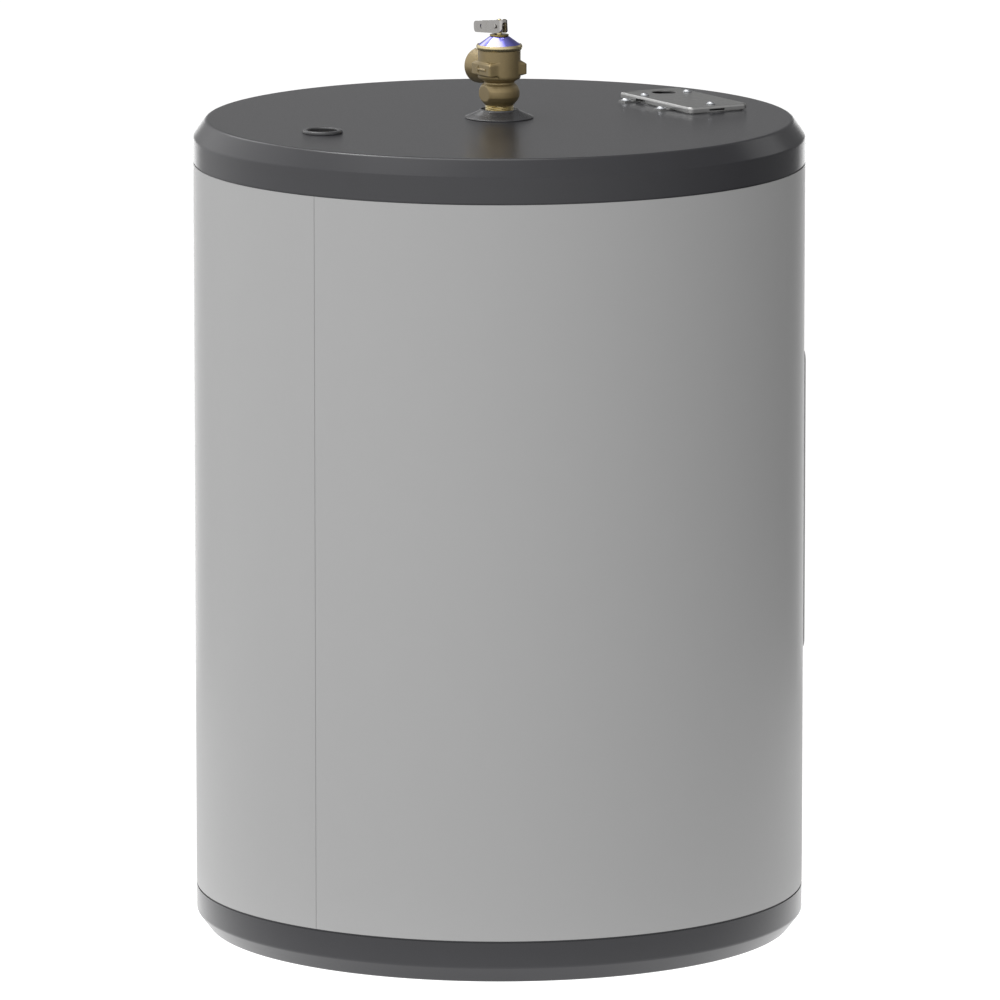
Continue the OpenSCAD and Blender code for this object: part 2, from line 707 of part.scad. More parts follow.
// Ring that covers the hole round a pipe; its back follows the jacket.
module trim_ring() difference() {
    union() {
        rod(jacket_r - 3, trim_step, trim_ring_r);
        rod(trim_step, trim_face, trim_ring_r, trim_ring_r - 3);
    }
    rod(jacket_in / 2, trim_face + 1, pipe_r + seat);
    translate([0, 0, -50]) cylinder(h = 100, r = jacket_r + seat, $fn = fine_fn);
}
module pipe_trim_rings() color("#3a3a3d") {
    for (z = [cold_z, hot_z]) at(water_angle, z) trim_ring();
    at(drain_angle, drain_z) trim_ring();
}

// Screw-in element: hexagon, thread and a hairpin sheath.
module element() {
    leg_out = hex_face - hex_t - 2;
    leg_in = leg_out - element_len;
    hex_rod(hex_face - hex_t, hex_face, element_hex);
    rod(tank_in - 2, hex_face - hex_t + 1, element_r);
    for (x = [-1, 1]) translate([x * sheath_pitch, 0, 0]) rod(leg_in, tank_in, sheath_r);
    intersection() {
        translate([0, -leg_in, 0]) rotate_extrude() translate([sheath_pitch, 0]) circle(sheath_r);
        translate([-30, -leg_in, -10]) cube([60, 30, 20]);
    }
}
module upper_element() color("#b08d57") at(0, upper_element_z) element();
module lower_element() color("#b08d57") at(0, lower_element_z) element();

module element_gaskets() color("#1d1d1d") for (z = [lower_element_z, upper_element_z])
    at(0, z) ring_rod(spud_face + seat / 2, spud_face + gasket_t, element_spud_r - 0.5, element_r + seat);

module element_terminal_blocks() color("#5b2f1d") for (z = [lower_element_z, upper_element_z])
    at(0, z) rod(hex_face + seat / 2, block_face, block_r);

module terminal_screw(face, t, r = 3.3) difference() {
    rod(face + seat / 2, face + t, r);
    translate([-0.5, -face - t - 1, -r - 1]) cube([1, 1.9, 2 * r + 2]);
}
module element_terminal_screws() color("#d0b26a")
    for (z = [lower_element_z, upper_element_z], x = [-1, 1]) at(0, z)
        translate([x * terminal_dx, 0, 0]) terminal_screw(block_face, element_screw_t);

// Spring clip that hooks round an element spud and holds the bodies above it.
module bracket(z, height) at(0, z) {
    half = thermostat_w / 2 + seat;
    difference() {
        translate([0, 0, (thermostat_base - 13) / 2])
            front_block(2 * half + 2, thermostat_base + 15, sensor_face, sensor_face + bracket_sheet);
        rod(tank_r / 2, jacket_r, element_spud_r + seat);
    }
    for (x = [-1, 1]) translate([x * (half + bracket_sheet / 2), 0, (thermostat_base + height) / 2]) {
        front_block(bracket_sheet, height - thermostat_base, sensor_face, thermostat_face + 1);
        translate([-x * bracket_lip / 2, 0, 0]) front_block(bracket_lip + bracket_sheet,
            (height - thermostat_base) * 0.6, thermostat_face + seat, thermostat_face + 1);
    }
}
module thermostat_brackets() color("#c3c3c3") {
    bracket(upper_element_z, thermostat_base + upper_body_h - 2);
    bracket(lower_element_z, thermostat_base + lower_body_h - 2);
}

module thermostat_body(foot, h, w) translate([0, 0, foot + h / 2])
    front_plate(w, h, 3, sensor_face + bracket_sheet + seat, thermostat_face);

module spindle_hole(z) translate([0, 0, z]) rod(thermostat_face - 8, jacket_r, 2.5 + running);

module upper_thermostat() color("#26221f") difference() {
    thermostat_body(upper_element_z + thermostat_base, upper_body_h, thermostat_w);
    spindle_hole(upper_dial_z);
}
module lower_thermostat() color("#26221f") difference() {
    thermostat_body(lower_element_z + thermostat_base, lower_body_h, thermostat_w);
    spindle_hole(lower_dial_z);
}
module high_limit_switch() color("#2d2824") difference() {
    union() {
        thermostat_body(upper_element_z + limit_base, limit_h, limit_w);
        at(0, reset_z) rod(thermostat_face - 1, thermostat_face + 1.2, reset_r + 2.4);
    }
    at(0, reset_z) rod(thermostat_face - 8, jacket_r, reset_r + running);
}

function corners(x, low, high) = [[-x, low], [x, low], [-x, high], [x, high]];
upper_screws = corners(screw_dx, upper_element_z + 37, upper_element_z + 53);
limit_screws = corners(limit_dx, upper_element_z + 68, upper_element_z + 94);
lower_screws = corners(screw_dx, lower_element_z + 37, lower_element_z + 67);

module thermostat_screws() color("#d0b26a") for (p = concat(upper_screws, limit_screws, lower_screws))
    translate([p.x, 0, p.y]) terminal_screw(thermostat_face, thermostat_screw_t);

// Dial with a screwdriver slot, on a spindle that turns in the thermostat.
module dial() difference() {
    union() {
        rod(thermostat_face - 6, thermostat_face + 1, 2.5);
        rod(thermostat_face + clear, thermostat_face + dial_t, dial_r, dial_r - 1);
    }
    translate([-0.8, -thermostat_face - dial_t - 1, -dial_r - 1]) cube([1.6, 2.4, 2 * dial_r + 2]);
    translate([0, 0, dial_r - 2.4]) rod(thermostat_face + dial_t - 0.5, jacket_r, 0.9);
}
module upper_dial() color("#e7e3da") at(0, upper_dial_z) dial();
module lower_dial() color("#e7e3da") at(0, lower_dial_z) dial();

module reset_button() color("#c2261f") at(0, reset_z) {
    rod(thermostat_face - 8 + reset_travel + clear, thermostat_face + reset_out - 0.6, reset_r);
    rod(thermostat_face + reset_out - 0.6, thermostat_face + reset_out, reset_r, reset_r - 0.6);
}

// Point on a wire's route: across, distance from the tank's axis, and height.
function spot(x, out, z) = [x, -out, z];
function on_body(p) = spot(p.x, terminal_plane, p.y);
function on_element(x, z) = spot(x, wire_plane, z);

// Supply wire from inside the junction box down the channel to the high limit.
module supply_wire(x, end) wire([
    spot(x, -jbox_y + 8, wire_hole_z), spot(x, channel_mid, wire_hole_z),
    spot(x, channel_mid, end.y + 26), spot(x, terminal_plane, end.y + 12),
    spot(end.x, terminal_plane, end.y + 5), on_body(end)]);

module black_wires() color("#1b1b1b") {
    supply_wire(-5, limit_screws[2]);
    wire([on_body(limit_screws[0]), spot(-limit_dx - 5, terminal_plane + 1, limit_screws[0].y - 7),
        on_body(upper_screws[2])]);
}

module red_wires() color("#b3231b") {
    supply_wire(5, limit_screws[3]);
    wire([on_body(limit_screws[1]), spot(far_wire_x, wire_plane, limit_screws[1].y - 8),
        spot(far_wire_x, wire_plane, lower_element_z + 8), on_element(terminal_dx, lower_element_z)]);
    wire([on_body(limit_screws[1]) + [0, 0, -4], spot(near_wire_x, wire_plane - 2, limit_screws[1].y - 22),
        spot(near_wire_x, wire_plane - 2, upper_element_z + 16), on_element(terminal_dx, upper_element_z)]);
}

module blue_wires() color("#2a4f96") {
    wire([on_body(upper_screws[0]), spot(-screw_dx - 5, wire_plane - 1, upper_element_z + 22),
        on_element(-terminal_dx, upper_element_z)]);
    wire([on_body(lower_screws[0]), spot(-screw_dx - 5, wire_plane - 1, lower_element_z + 22),
        on_element(-terminal_dx, lower_element_z)]);
}

// It passes behind the wires that lead to the upper element.
module yellow_wire() color("#d9a514") wire([
    on_body(upper_screws[1]), spot(link_wire_x, terminal_plane, upper_element_z + 29),
    spot(link_wire_x, hex_face - 4, upper_element_z + 20), spot(link_wire_x, hex_face - 4, lower_element_z + 86),
    spot(link_wire_x, terminal_plane, lower_element_z + 77), on_body(lower_screws[3])]);

module junction_box() color("#b7babd") translate([jbox_x, jbox_y, 0]) difference() {
    union() {
        translate([0, 0, box_foot]) linear_extrude(jbox_depth + 0.6) square([box_w, box_d], center = true);
        translate([0, 0, body_h + seat / 2]) linear_extrude(jbox_sheet)
            rounded_plate(box_w + 2 * box_flange, box_d + 2 * box_flange, 4);
        for (p = box_screws_at) translate([p.x, box_d / 2 + 8, body_h + seat / 2])
            linear_extrude(jbox_sheet) square([12, 24], center = true);
    }
    translate([0, 0, box_foot + jbox_sheet]) linear_extrude(jbox_depth + 20)
        square([box_w - 2 * jbox_sheet, box_d - 2 * jbox_sheet], center = true);
    translate([-jbox_x, 0, wire_hole_z]) rotate([90, 0, 0]) cylinder(h = box_d, r = wire_hole_r);
    for (p = concat(box_screws_at, cover_screws_at)) translate([p.x, p.y, body_h]) cylinder(h = 9, r = 2);
    translate([-30, 0, box_foot - 1]) cylinder(h = 4, r = 2);
}

// Shallow pan with notched sides, a conduit knockout and three screw holes.
module junction_box_cover() color("#a9acb0") translate([jbox_x, jbox_y, body_h + jbox_sheet + seat]) {
    skirt = jbox_cover_h - jbox_sheet - seat;
    difference() {
        linear_extrude(skirt) rounded_plate(jbox_cover_w, jbox_cover_d, jbox_corner);
        translate([0, 0, -1]) linear_extrude(skirt + 1 - jbox_sheet) rounded_plate(
            jbox_cover_w - 2 * jbox_sheet, jbox_cover_d - 2 * jbox_sheet, jbox_corner - jbox_sheet);
        translate([knockout_dx, knockout_dy, 0]) cylinder(h = 20, r = knockout_r);
        translate([knockout_dx, knockout_dy, skirt - knockout_dish])
            cylinder(h = 2 * knockout_dish, r1 = knockout_r, r2 = knockout_r + 2 * knockout_lip);
        for (p = cover_screws_at) translate([p.x, p.y, 0]) cylinder(h = 20, r = 2);
        translate([16.5, jbox_cover_d / 2 - 4, -1]) cube([16, 8, 3]);
        translate([-jbox_cover_w / 2 - 4, -6, -1]) cube([8, 16, 3]);
        for (p = box_screws_at) translate([p.x - 7, jbox_cover_d / 2 - 4, -1]) cube([14, 8, 1.4]);
    }
}

// Dome-headed screw with its washer face at height 0.
module dome_screw(r, shank, flange) {
    translate([0, 0, -shank]) cylinder(h = shank + 0.5, r = 1.8);
    cylinder(h = 0.9, r = flange);
    intersection() {
        translate([0, 0, 0.8]) cylinder(h = r, r = r);
        translate([0, 0, 0.8 - r * 0.9]) sphere(r * 1.25);
    }
}

module cover_screws() color("#d4d6d8") for (p = cover_screws_at)
    translate([jbox_x + p.x, jbox_y + p.y, body_h + jbox_cover_h + seat]) dome_screw(3.4, jbox_cover_h, 4.2);

module junction_box_screws() color("#d4d6d8") for (p = box_screws_at)
    translate([jbox_x + p.x, jbox_y + p.y, body_h + jbox_sheet + 2 * seat]) dome_screw(3.6, 9, 5);

module ground_screw() color("#2f8f4a") translate([jbox_x - 30, jbox_y, box_foot + jbox_sheet + seat]) {
    cylinder(h = 3, r = 4.2);
    translate([0, 0, -jbox_sheet - seat]) cylinder(h = 2, r = 1.9);
}

// Everything of the relief valve stands on the cap's flat, at the tank's axis.
module above_cap() translate([0, 0, body_h]) children();

module relief_valve_trim() color("#3b3b3e") above_cap() rotate_extrude() polygon([
    [trim_r, seat], [trim_r, 1], [neck_r + 2.1, trim_h], [pipe_r + seat, trim_h],
    [pipe_r + seat, trim_h - 1.4], [neck_r + 1.4, trim_h - 1.4], [trim_r - 2, seat]]);

module arrow() linear_extrude(0.7) polygon([
    [-8, -0.7], [2, -0.7], [2, -2.6], [8, 0], [2, 2.6], [2, 0.7], [-8, 0.7]]);

module relief_valve_body() color("#7d6b42") above_cap() difference() {
    union() {
        translate([0, 0, valve_foot]) cylinder(h = hex_foot - valve_foot + 1, r = pipe_r);
        intersection() {
            translate([0, 0, hex_foot]) cylinder(h = hex_top - hex_foot, r = valve_hex / sqrt(3), $fn = 6);
            rotate_extrude() polygon([
                [0, hex_foot], [pipe_r, hex_foot], [valve_hex / sqrt(3), hex_foot + hex_chamfer],
                [valve_hex / sqrt(3), hex_top - 3.4], [neck_r + 0.8, hex_top - 1.2], [0, hex_top - 1.2]]);
        }
        translate([0, 0, hex_top - 4]) cylinder(h = 5, r = neck_r);
        translate([0, 0, hex_top]) cylinder(h = seat_h - hex_top, r1 = neck_r + 1, r2 = valve_r);
        translate([0, 0, seat_h]) cylinder(h = rim_top - seat_h - 1, r = valve_r);
        translate([0, 0, rim_foot]) cylinder(h = rim_top - rim_foot, r = valve_r + rim_lip);
        translate([-block_x, -block_y, block_foot]) cube([2 * block_x, 2 * block_y, block_h]);
        translate([0, 0, outlet_h]) rotate([0, 90, 0]) cylinder(h = outlet_reach, r = outlet_r);
        translate([0, block_y, outlet_h + 1]) rotate([90, 0, 180]) mirror([1, 0, 0]) arrow();
    }
    translate([0, 0, valve_foot - 1]) cylinder(h = chamber_foot - valve_foot + 2, r = inlet_bore);
    translate([0, 0, chamber_foot]) cylinder(h = rim_top - chamber_foot, r = chamber_r);
    translate([0, 0, rim_foot + 0.6]) cylinder(h = 10, r = bonnet_r + seat);
    translate([0, 0, outlet_h]) rotate([0, 90, 0]) cylinder(h = outlet_reach + 1, r = chamber_r / 2);
    translate([outlet_reach - outlet_depth, 0, outlet_h]) rotate([0, 90, 0])
        cylinder(h = outlet_depth + 1, r = outlet_bore);
}

// Height of the bonnet's inner cone above the cap, at radius r.
function bonnet_inside(r) = bonnet_top - bonnet_sheet - (r - bonnet_neck + 0.6)
    * (bonnet_top - bonnet_sheet - rim_top + 0.8) / (bonnet_r - 3 - bonnet_neck + 0.6);

module relief_valve_bonnet() color("#b9bcd8") above_cap() rotate_extrude() polygon([
    [bonnet_r, rim_foot + 0.7], [bonnet_r, rim_top - 0.5], [bonnet_neck, bonnet_top],
    [stem_r + running, bonnet_top], [stem_r + running, bonnet_top - bonnet_sheet],
    [bonnet_neck - 0.6, bonnet_top - bonnet_sheet], [bonnet_r - 3, rim_top - 0.8],
    [bonnet_r - 3, rim_foot + 0.7]]);

module relief_valve_washer() color("#a39a72") above_cap()
    translate([0, 0, bonnet_top + seat]) ring(washer_r, stem_r + running, washer_t);

module relief_valve_stem() color("#b59a5a") above_cap() difference() {
    union() {
        translate([0, 0, chamber_foot + seat]) cylinder(h = stem_top - chamber_foot - seat, r = stem_r);
        translate([0, 0, chamber_foot + disc_h + 2 * seat]) cylinder(h = 2, r = stem_r + 3);
        translate([0, 0, stem_top]) cylinder(h = nub_h, r1 = nub_r, r2 = nub_r - 1);
    }
    translate([0, 10, pin_h]) rotate([90, 0, 0]) cylinder(h = 20, r = pin_r + seat);
}

module relief_valve_seat_disc() color("#2b2b2b") above_cap() translate([0, 0, chamber_foot + seat])
    ring(chamber_r - 3, stem_r + seat, disc_h);

module relief_valve_spring() color("#c9c9c9") above_cap() {
    foot = chamber_foot + disc_h + 2 * seat + spring_wire + 0.05;
    top = bonnet_inside(spring_r + spring_wire) - spring_wire - seat;
    turns = 6;
    steps = 14;
    sweep([for (i = [0 : turns * steps])
        [spring_r * cos(360 * i / steps), spring_r * sin(360 * i / steps), foot + (top - foot) * i / turns / steps]],
        spring_wire, 6, [0, 0, 1]);
}

module relief_valve_probe() color("#b87333") above_cap()
    translate([0, 0, chamber_foot - probe_len]) cylinder(h = probe_len, r = probe_r);

module relief_lever_pin() color("#8f8f8a") above_cap() translate([0, 0, pin_h]) rotate([90, 0, 0]) {
    translate([0, 0, -lever_w / 2 - 1]) cylinder(h = lever_w + 2, r = pin_r);
    for (z = [-lever_w / 2 - 1.3, lever_w / 2 + 0.3]) translate([0, 0, z]) cylinder(h = 1, r = pin_r + pin_head);
}

// Side view of the lever about its pin, with the bent end behind and the tip in front.
module lever_side(r) {
    translate([-cam_back, 0]) circle(r);
    polygon(concat(
        [[-cam_back - r, 0], [-cam_back, -r]],
        fillet([-cam_back, -r], [lever_tip, -r + 1], [lever_tip, r - 1.4], 3.5),
        fillet([lever_tip, -r + 1], [lever_tip, r - 1.4], [-cam_back, r - 0.8], 3.5),
        [[-cam_back - r, r - 0.8]]));
}

// Plan of the strip: a U whose closed end has rounded bends of radius b.
module lever_plan(back, w, b) {
    translate([-back + b, -w / 2]) square([lever_tip + back + 10, w]);
    translate([-back, -w / 2 + b]) square([2 * b, w - 2 * b]);
    for (y = [-1, 1]) translate([-back + b, y * (w / 2 - b)]) circle(b);
}

// Slot in the bent end, which the stem passes through as the lever swings up.
module lever_slot(r) translate([-cam_back - cam_r - 1, 0, 0]) {
    translate([0, 0, slot_top - r]) rotate([0, 90, 0]) cylinder(h = cam_r + 1, r = r);
    translate([0, -r, -2 * cam_r]) cube([cam_r + 3, 2 * r, 2 * cam_r + slot_top - r]);
}

module relief_lever() color("#a7a7a4") above_cap() translate([0, 0, pin_h]) rotate([0, lever_droop, 0])
    difference() {
        intersection() {
            translate([0, lever_w, 0]) rotate([90, 0, 0]) linear_extrude(2 * lever_w) lever_side(cam_r);
            translate([0, 0, -20]) linear_extrude(40) lever_plan(cam_back + cam_r, lever_w, 3);
        }
        translate([0, lever_w, 0]) rotate([90, 0, 0]) linear_extrude(2 * lever_w)
            translate([lever_tip - 13.6, 0]) circle(2.2);
        translate([0, 10, 0]) rotate([90, 0, 0]) cylinder(h = 20, r = pin_r + running);
        lever_slot(stem_r + clear);
        intersection() {
            translate([0, lever_w, 0]) rotate([90, 0, 0]) linear_extrude(2 * lever_w) {
                translate([-cam_back, 0]) circle(cam_r - lever_sheet);
                translate([-cam_back, -cam_r - 9]) square([lever_tip + 20, 2 * cam_r + 18]);
                translate([-cam_back - cam_r + lever_sheet, 0]) square([2 * cam_r, cam_r + 9]);
            }
            translate([0, 0, -20]) linear_extrude(40)
                lever_plan(cam_back + cam_r - lever_sheet, lever_w - 2 * lever_sheet, 3 - lever_sheet);
        }
    }

// Everything of the drain valve points outwards along its barrel.
module at_drain() at(drain_angle, drain_z) children();
module hose_way(h, r) translate([0, -hose_at, -h]) cylinder(h = h, r = r);

module drain_valve_body() color("#8a7445") at_drain() difference() {
    union() {
        rod(side_spud_out - thread_reach + 5, drain_hex + 1, pipe_r);
        hex_rod(drain_hex, drain_hex + drain_hex_t, 30);
        rod(drain_hex + 1, drain_mouth, barrel_r);
        hose_way(hose_face - 1, hose_r - 2);
        translate([0, -hose_at, -hose_face]) cylinder(h = hose_len, r = hose_r);
    }
    rod(side_spud_out - thread_reach, drain_seat + 1, drain_bore);
    rod(drain_seat, drain_mouth + 1, barrel_r - chamber_wall);
    hose_way(hose_face + 1, hose_bore);
}

module drain_packing_nut() color("#9a8350") at_drain() difference() {
    union() {
        hex_rod(drain_mouth + seat, drain_out, 24);
        rod(drain_mouth - 8, drain_mouth + 1, barrel_r - chamber_wall - seat);
    }
    rod(drain_mouth - 9, drain_out + 1, drain_stem_r + running);
}

module drain_stem() color("#b59a5a") at_drain() {
    rod(drain_seat + drain_washer_t + 2 * seat + clear, handle_in + handle_t - 1, drain_stem_r);
    rod(drain_seat + drain_washer_t + clear, drain_seat + drain_washer_t + 2 + clear, drain_washer_r - 1);
}

module drain_seat_washer() color("#1d1d1d") at_drain()
    rod(drain_seat + seat, drain_seat + drain_washer_t, drain_washer_r);

// Wheel handle with a hub, a rim and four finger scallops.
module drain_handle() color("#2b2b2d") at_drain() difference() {
    union() {
        rod(handle_in, handle_in + handle_t, handle_r);
        rod(handle_in - 2, handle_in + handle_t, drain_stem_r + 4);
    }
    rod(handle_in - 3, handle_in + handle_t - 1 + seat, drain_stem_r + seat);
    rod(handle_in, drain_out + 60, 1.7 + seat);
    for (a = [0 : 90 : 270]) rotate([0, a, 0]) translate([handle_r + 5, 0, 0])
        rod(handle_in - 3, handle_in + handle_t + 3, 11);
    difference() {
        rod(handle_in + handle_t - 2, drain_out + 60, handle_r - 4);
        rod(handle_in, drain_out + 60, drain_stem_r + 4);
    }
}

module drain_handle_screw() color("#c8c8c8") at_drain() difference() {
    union() {
        rod(handle_in + handle_t + seat, handle_in + handle_t + 2.4, 4, 3);
        rod(handle_in + handle_t - 1 + seat, handle_in + handle_t + 1, 1.7);
    }
    translate([-0.5, -handle_in - handle_t - 4, -5]) cube([1, 2.6, 10]);
}

base_pan();
tank_support_ring();
jacket();
top_cap();
foam_insulation();
control_foam_dam();
access_panel();
access_panel_screws();
panel_insulation();
tank_shell();
top_head();
bottom_head();
pipe_spuds();
element_spuds();
anode_plug();
anode_rod();
anode_port_ring();
cold_inlet_tube();
cold_nipple();
hot_nipple();
nipple_liners();
pipe_trim_rings();
upper_element();
lower_element();
element_gaskets();
element_terminal_blocks();
element_terminal_screws();
thermostat_brackets();
upper_thermostat();
high_limit_switch();
lower_thermostat();
thermostat_screws();
upper_dial();
lower_dial();
reset_button();
black_wires();
red_wires();
blue_wires();
yellow_wire();
junction_box();
junction_box_cover();
cover_screws();
junction_box_screws();
ground_screw();
relief_valve_trim();
relief_valve_body();
relief_valve_bonnet();
relief_valve_washer();
relief_valve_stem();
relief_valve_seat_disc();
relief_valve_spring();
relief_valve_probe();
relief_lever_pin();
relief_lever();
drain_valve_body();
drain_packing_nut();
drain_stem();
drain_seat_washer();
drain_handle();
drain_handle_screw();
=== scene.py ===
"""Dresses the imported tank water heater: finishes, detailed pieces, floor, light and camera.

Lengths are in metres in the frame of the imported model, +Z up, unless a name ends in _mm or a class says
that its sizes are in mm.
"""

from __future__ import annotations

import json
import logging
import math
from dataclasses import dataclass
from enum import Enum
from typing import Callable

import bmesh
import bpy
import numpy as np
from mathutils import Matrix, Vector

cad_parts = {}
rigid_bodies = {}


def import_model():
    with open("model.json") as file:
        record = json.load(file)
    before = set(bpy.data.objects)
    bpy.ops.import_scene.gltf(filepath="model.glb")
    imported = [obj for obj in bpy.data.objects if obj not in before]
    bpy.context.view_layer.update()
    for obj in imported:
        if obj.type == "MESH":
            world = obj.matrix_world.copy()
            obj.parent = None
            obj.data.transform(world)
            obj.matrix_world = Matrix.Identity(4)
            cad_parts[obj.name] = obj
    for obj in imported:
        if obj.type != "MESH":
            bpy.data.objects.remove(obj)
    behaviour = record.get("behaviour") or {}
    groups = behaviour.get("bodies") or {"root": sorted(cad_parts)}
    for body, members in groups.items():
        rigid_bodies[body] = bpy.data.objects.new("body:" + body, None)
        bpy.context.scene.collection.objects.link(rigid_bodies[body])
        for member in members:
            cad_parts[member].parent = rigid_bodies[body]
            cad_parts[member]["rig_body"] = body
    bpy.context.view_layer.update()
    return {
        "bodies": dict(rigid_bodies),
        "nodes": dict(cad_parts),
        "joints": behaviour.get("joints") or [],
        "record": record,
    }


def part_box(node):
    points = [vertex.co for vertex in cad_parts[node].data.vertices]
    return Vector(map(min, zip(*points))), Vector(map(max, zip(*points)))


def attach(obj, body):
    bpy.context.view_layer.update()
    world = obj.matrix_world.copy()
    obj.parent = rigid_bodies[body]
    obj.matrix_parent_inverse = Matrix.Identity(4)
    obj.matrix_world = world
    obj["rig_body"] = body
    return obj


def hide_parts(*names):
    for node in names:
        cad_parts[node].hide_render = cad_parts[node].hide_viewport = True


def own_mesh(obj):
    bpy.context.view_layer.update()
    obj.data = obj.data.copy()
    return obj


LOG = logging.getLogger("tank_water_heater")
MM = 0.001
UP = np.array([0.0, 0.0, 1.0])
TURN = 2 * math.pi
# Points nearer than MERGE are one, in metres. A node's own points are rounded more coarsely, and those of
# its faces that bend less than FLAT_DEG are one flat face.
MERGE = 1e-6
NODE_MERGE = 2e-6
FLAT_DEG = 0.5
# Thread pitches in mm: 14 turns to the inch on 3/4 in pipe, and 11.5 on a garden hose.
PIPE_PITCH = 1.81
HOSE_PITCH = 2.21
# Where the camera stands, from -Y towards +X. The studio's light is laid out round the same direction.
CAMERA_AZIMUTH_DEG = -120.0
FRAME: dict = {}
SLOT_OF: dict[str, str] = {}

# The points of a surface in metres, and its faces as rows of point numbers.
Surface = tuple[np.ndarray, list]
# A radius worked out from arrays of radius, height and angle.
RadiusRule = Callable[[np.ndarray, np.ndarray, np.ndarray], np.ndarray]


class Grain(Enum):
    """How the surface of a finish is broken up."""

    PEEL = "the shallow, rounded waves of sprayed paint"
    CAST = "the soft dimples of a forging or a sand casting"
    TURNED = "the fine rings that a lathe leaves round the upright axis"
    ROLLED = "the faint streaks of rolled or drawn sheet and wire"
    MOULDED = "the even, faint spark texture of a mould"
    SPANGLE = "the crystal facets of hot-dip zinc"
    CELLS = "the closed cells and beads of rigid foam"
    FIBRES = "the crossed threads of a glass fibre batt"


@dataclass(frozen=True)
class Finish:
    """One finish, from the real material and the way its surface was made.

    hexes holds the main colour and the one it drifts towards, both sRGB. grain_mm is the width of one
    feature of the grain, relief_mm its height, and drift the share of the second colour at its most.
    """

    title: str
    hexes: tuple[str, str]
    grain: Grain
    grain_mm: float
    relief_mm: float
    roughness: float
    metallic: float = 0.0
    ior: float = 1.5
    coat: float = 0.0
    coat_roughness: float = 0.1
    drift: float = 0.5
    gloss_swing: float = 0.06


def linear(code: str) -> tuple[float, float, float, float]:
    """An sRGB hex colour as linear red, green, blue and alpha.

    Each channel c becomes c/12.92 up to 0.04045, and ((c+0.055)/1.055)^2.4 above it.

    Args:
        code: six hex digits, with or without a leading #.

    Returns:
        Four numbers from 0 to 1.
    """
    raw = [int(code.lstrip("#")[i : i + 2], 16) / 255 for i in (0, 2, 4)]
    low = [c / 12.92 if c <= 0.04045 else ((c + 0.055) / 1.055) ** 2.4 for c in raw]
    return low[0], low[1], low[2], 1.0


def add(tree: bpy.types.NodeTree, kind: str, wires: dict | None = None, **settings) -> bpy.types.Node:
    """Adds one node, with its settings and the values or links of its inputs.

    Args:
        tree: the node tree.
        kind: the node's type name.
        wires: input name or number to a value, or to an output socket that feeds it.
        **settings: the node's own properties.

    Returns:
        The new node.
    """
    node = tree.nodes.new(kind)
    for name, value in settings.items():
        setattr(node, name, value)
    for name, value in (wires or {}).items():
        if isinstance(value, bpy.types.NodeSocket):
            tree.links.new(value, node.inputs[name])
        else:
            node.inputs[name].default_value = value
    return node


# The stretch of the grain along x, y and z, as a share of its frequency.
STRETCH = {
    Grain.TURNED: (0.05, 0.05, 1.0),
    Grain.ROLLED: (1.0, 0.06, 1.0),
    Grain.FIBRES: (1.0, 0.25, 0.25),
}
# The drift between the two colours follows the grain by FINE_SHARE and a broad noise, BROAD_WIDTH grains
# wide, by BROAD_SHARE. It starts where their sum passes DRIFT_FROM and is full at DRIFT_TO.
BROAD_WIDTH = 14
FINE_SHARE, BROAD_SHARE = 0.45, 0.55
DRIFT_FROM, DRIFT_TO = 0.35, 0.7
LEAST_ROUGHNESS = 0.02


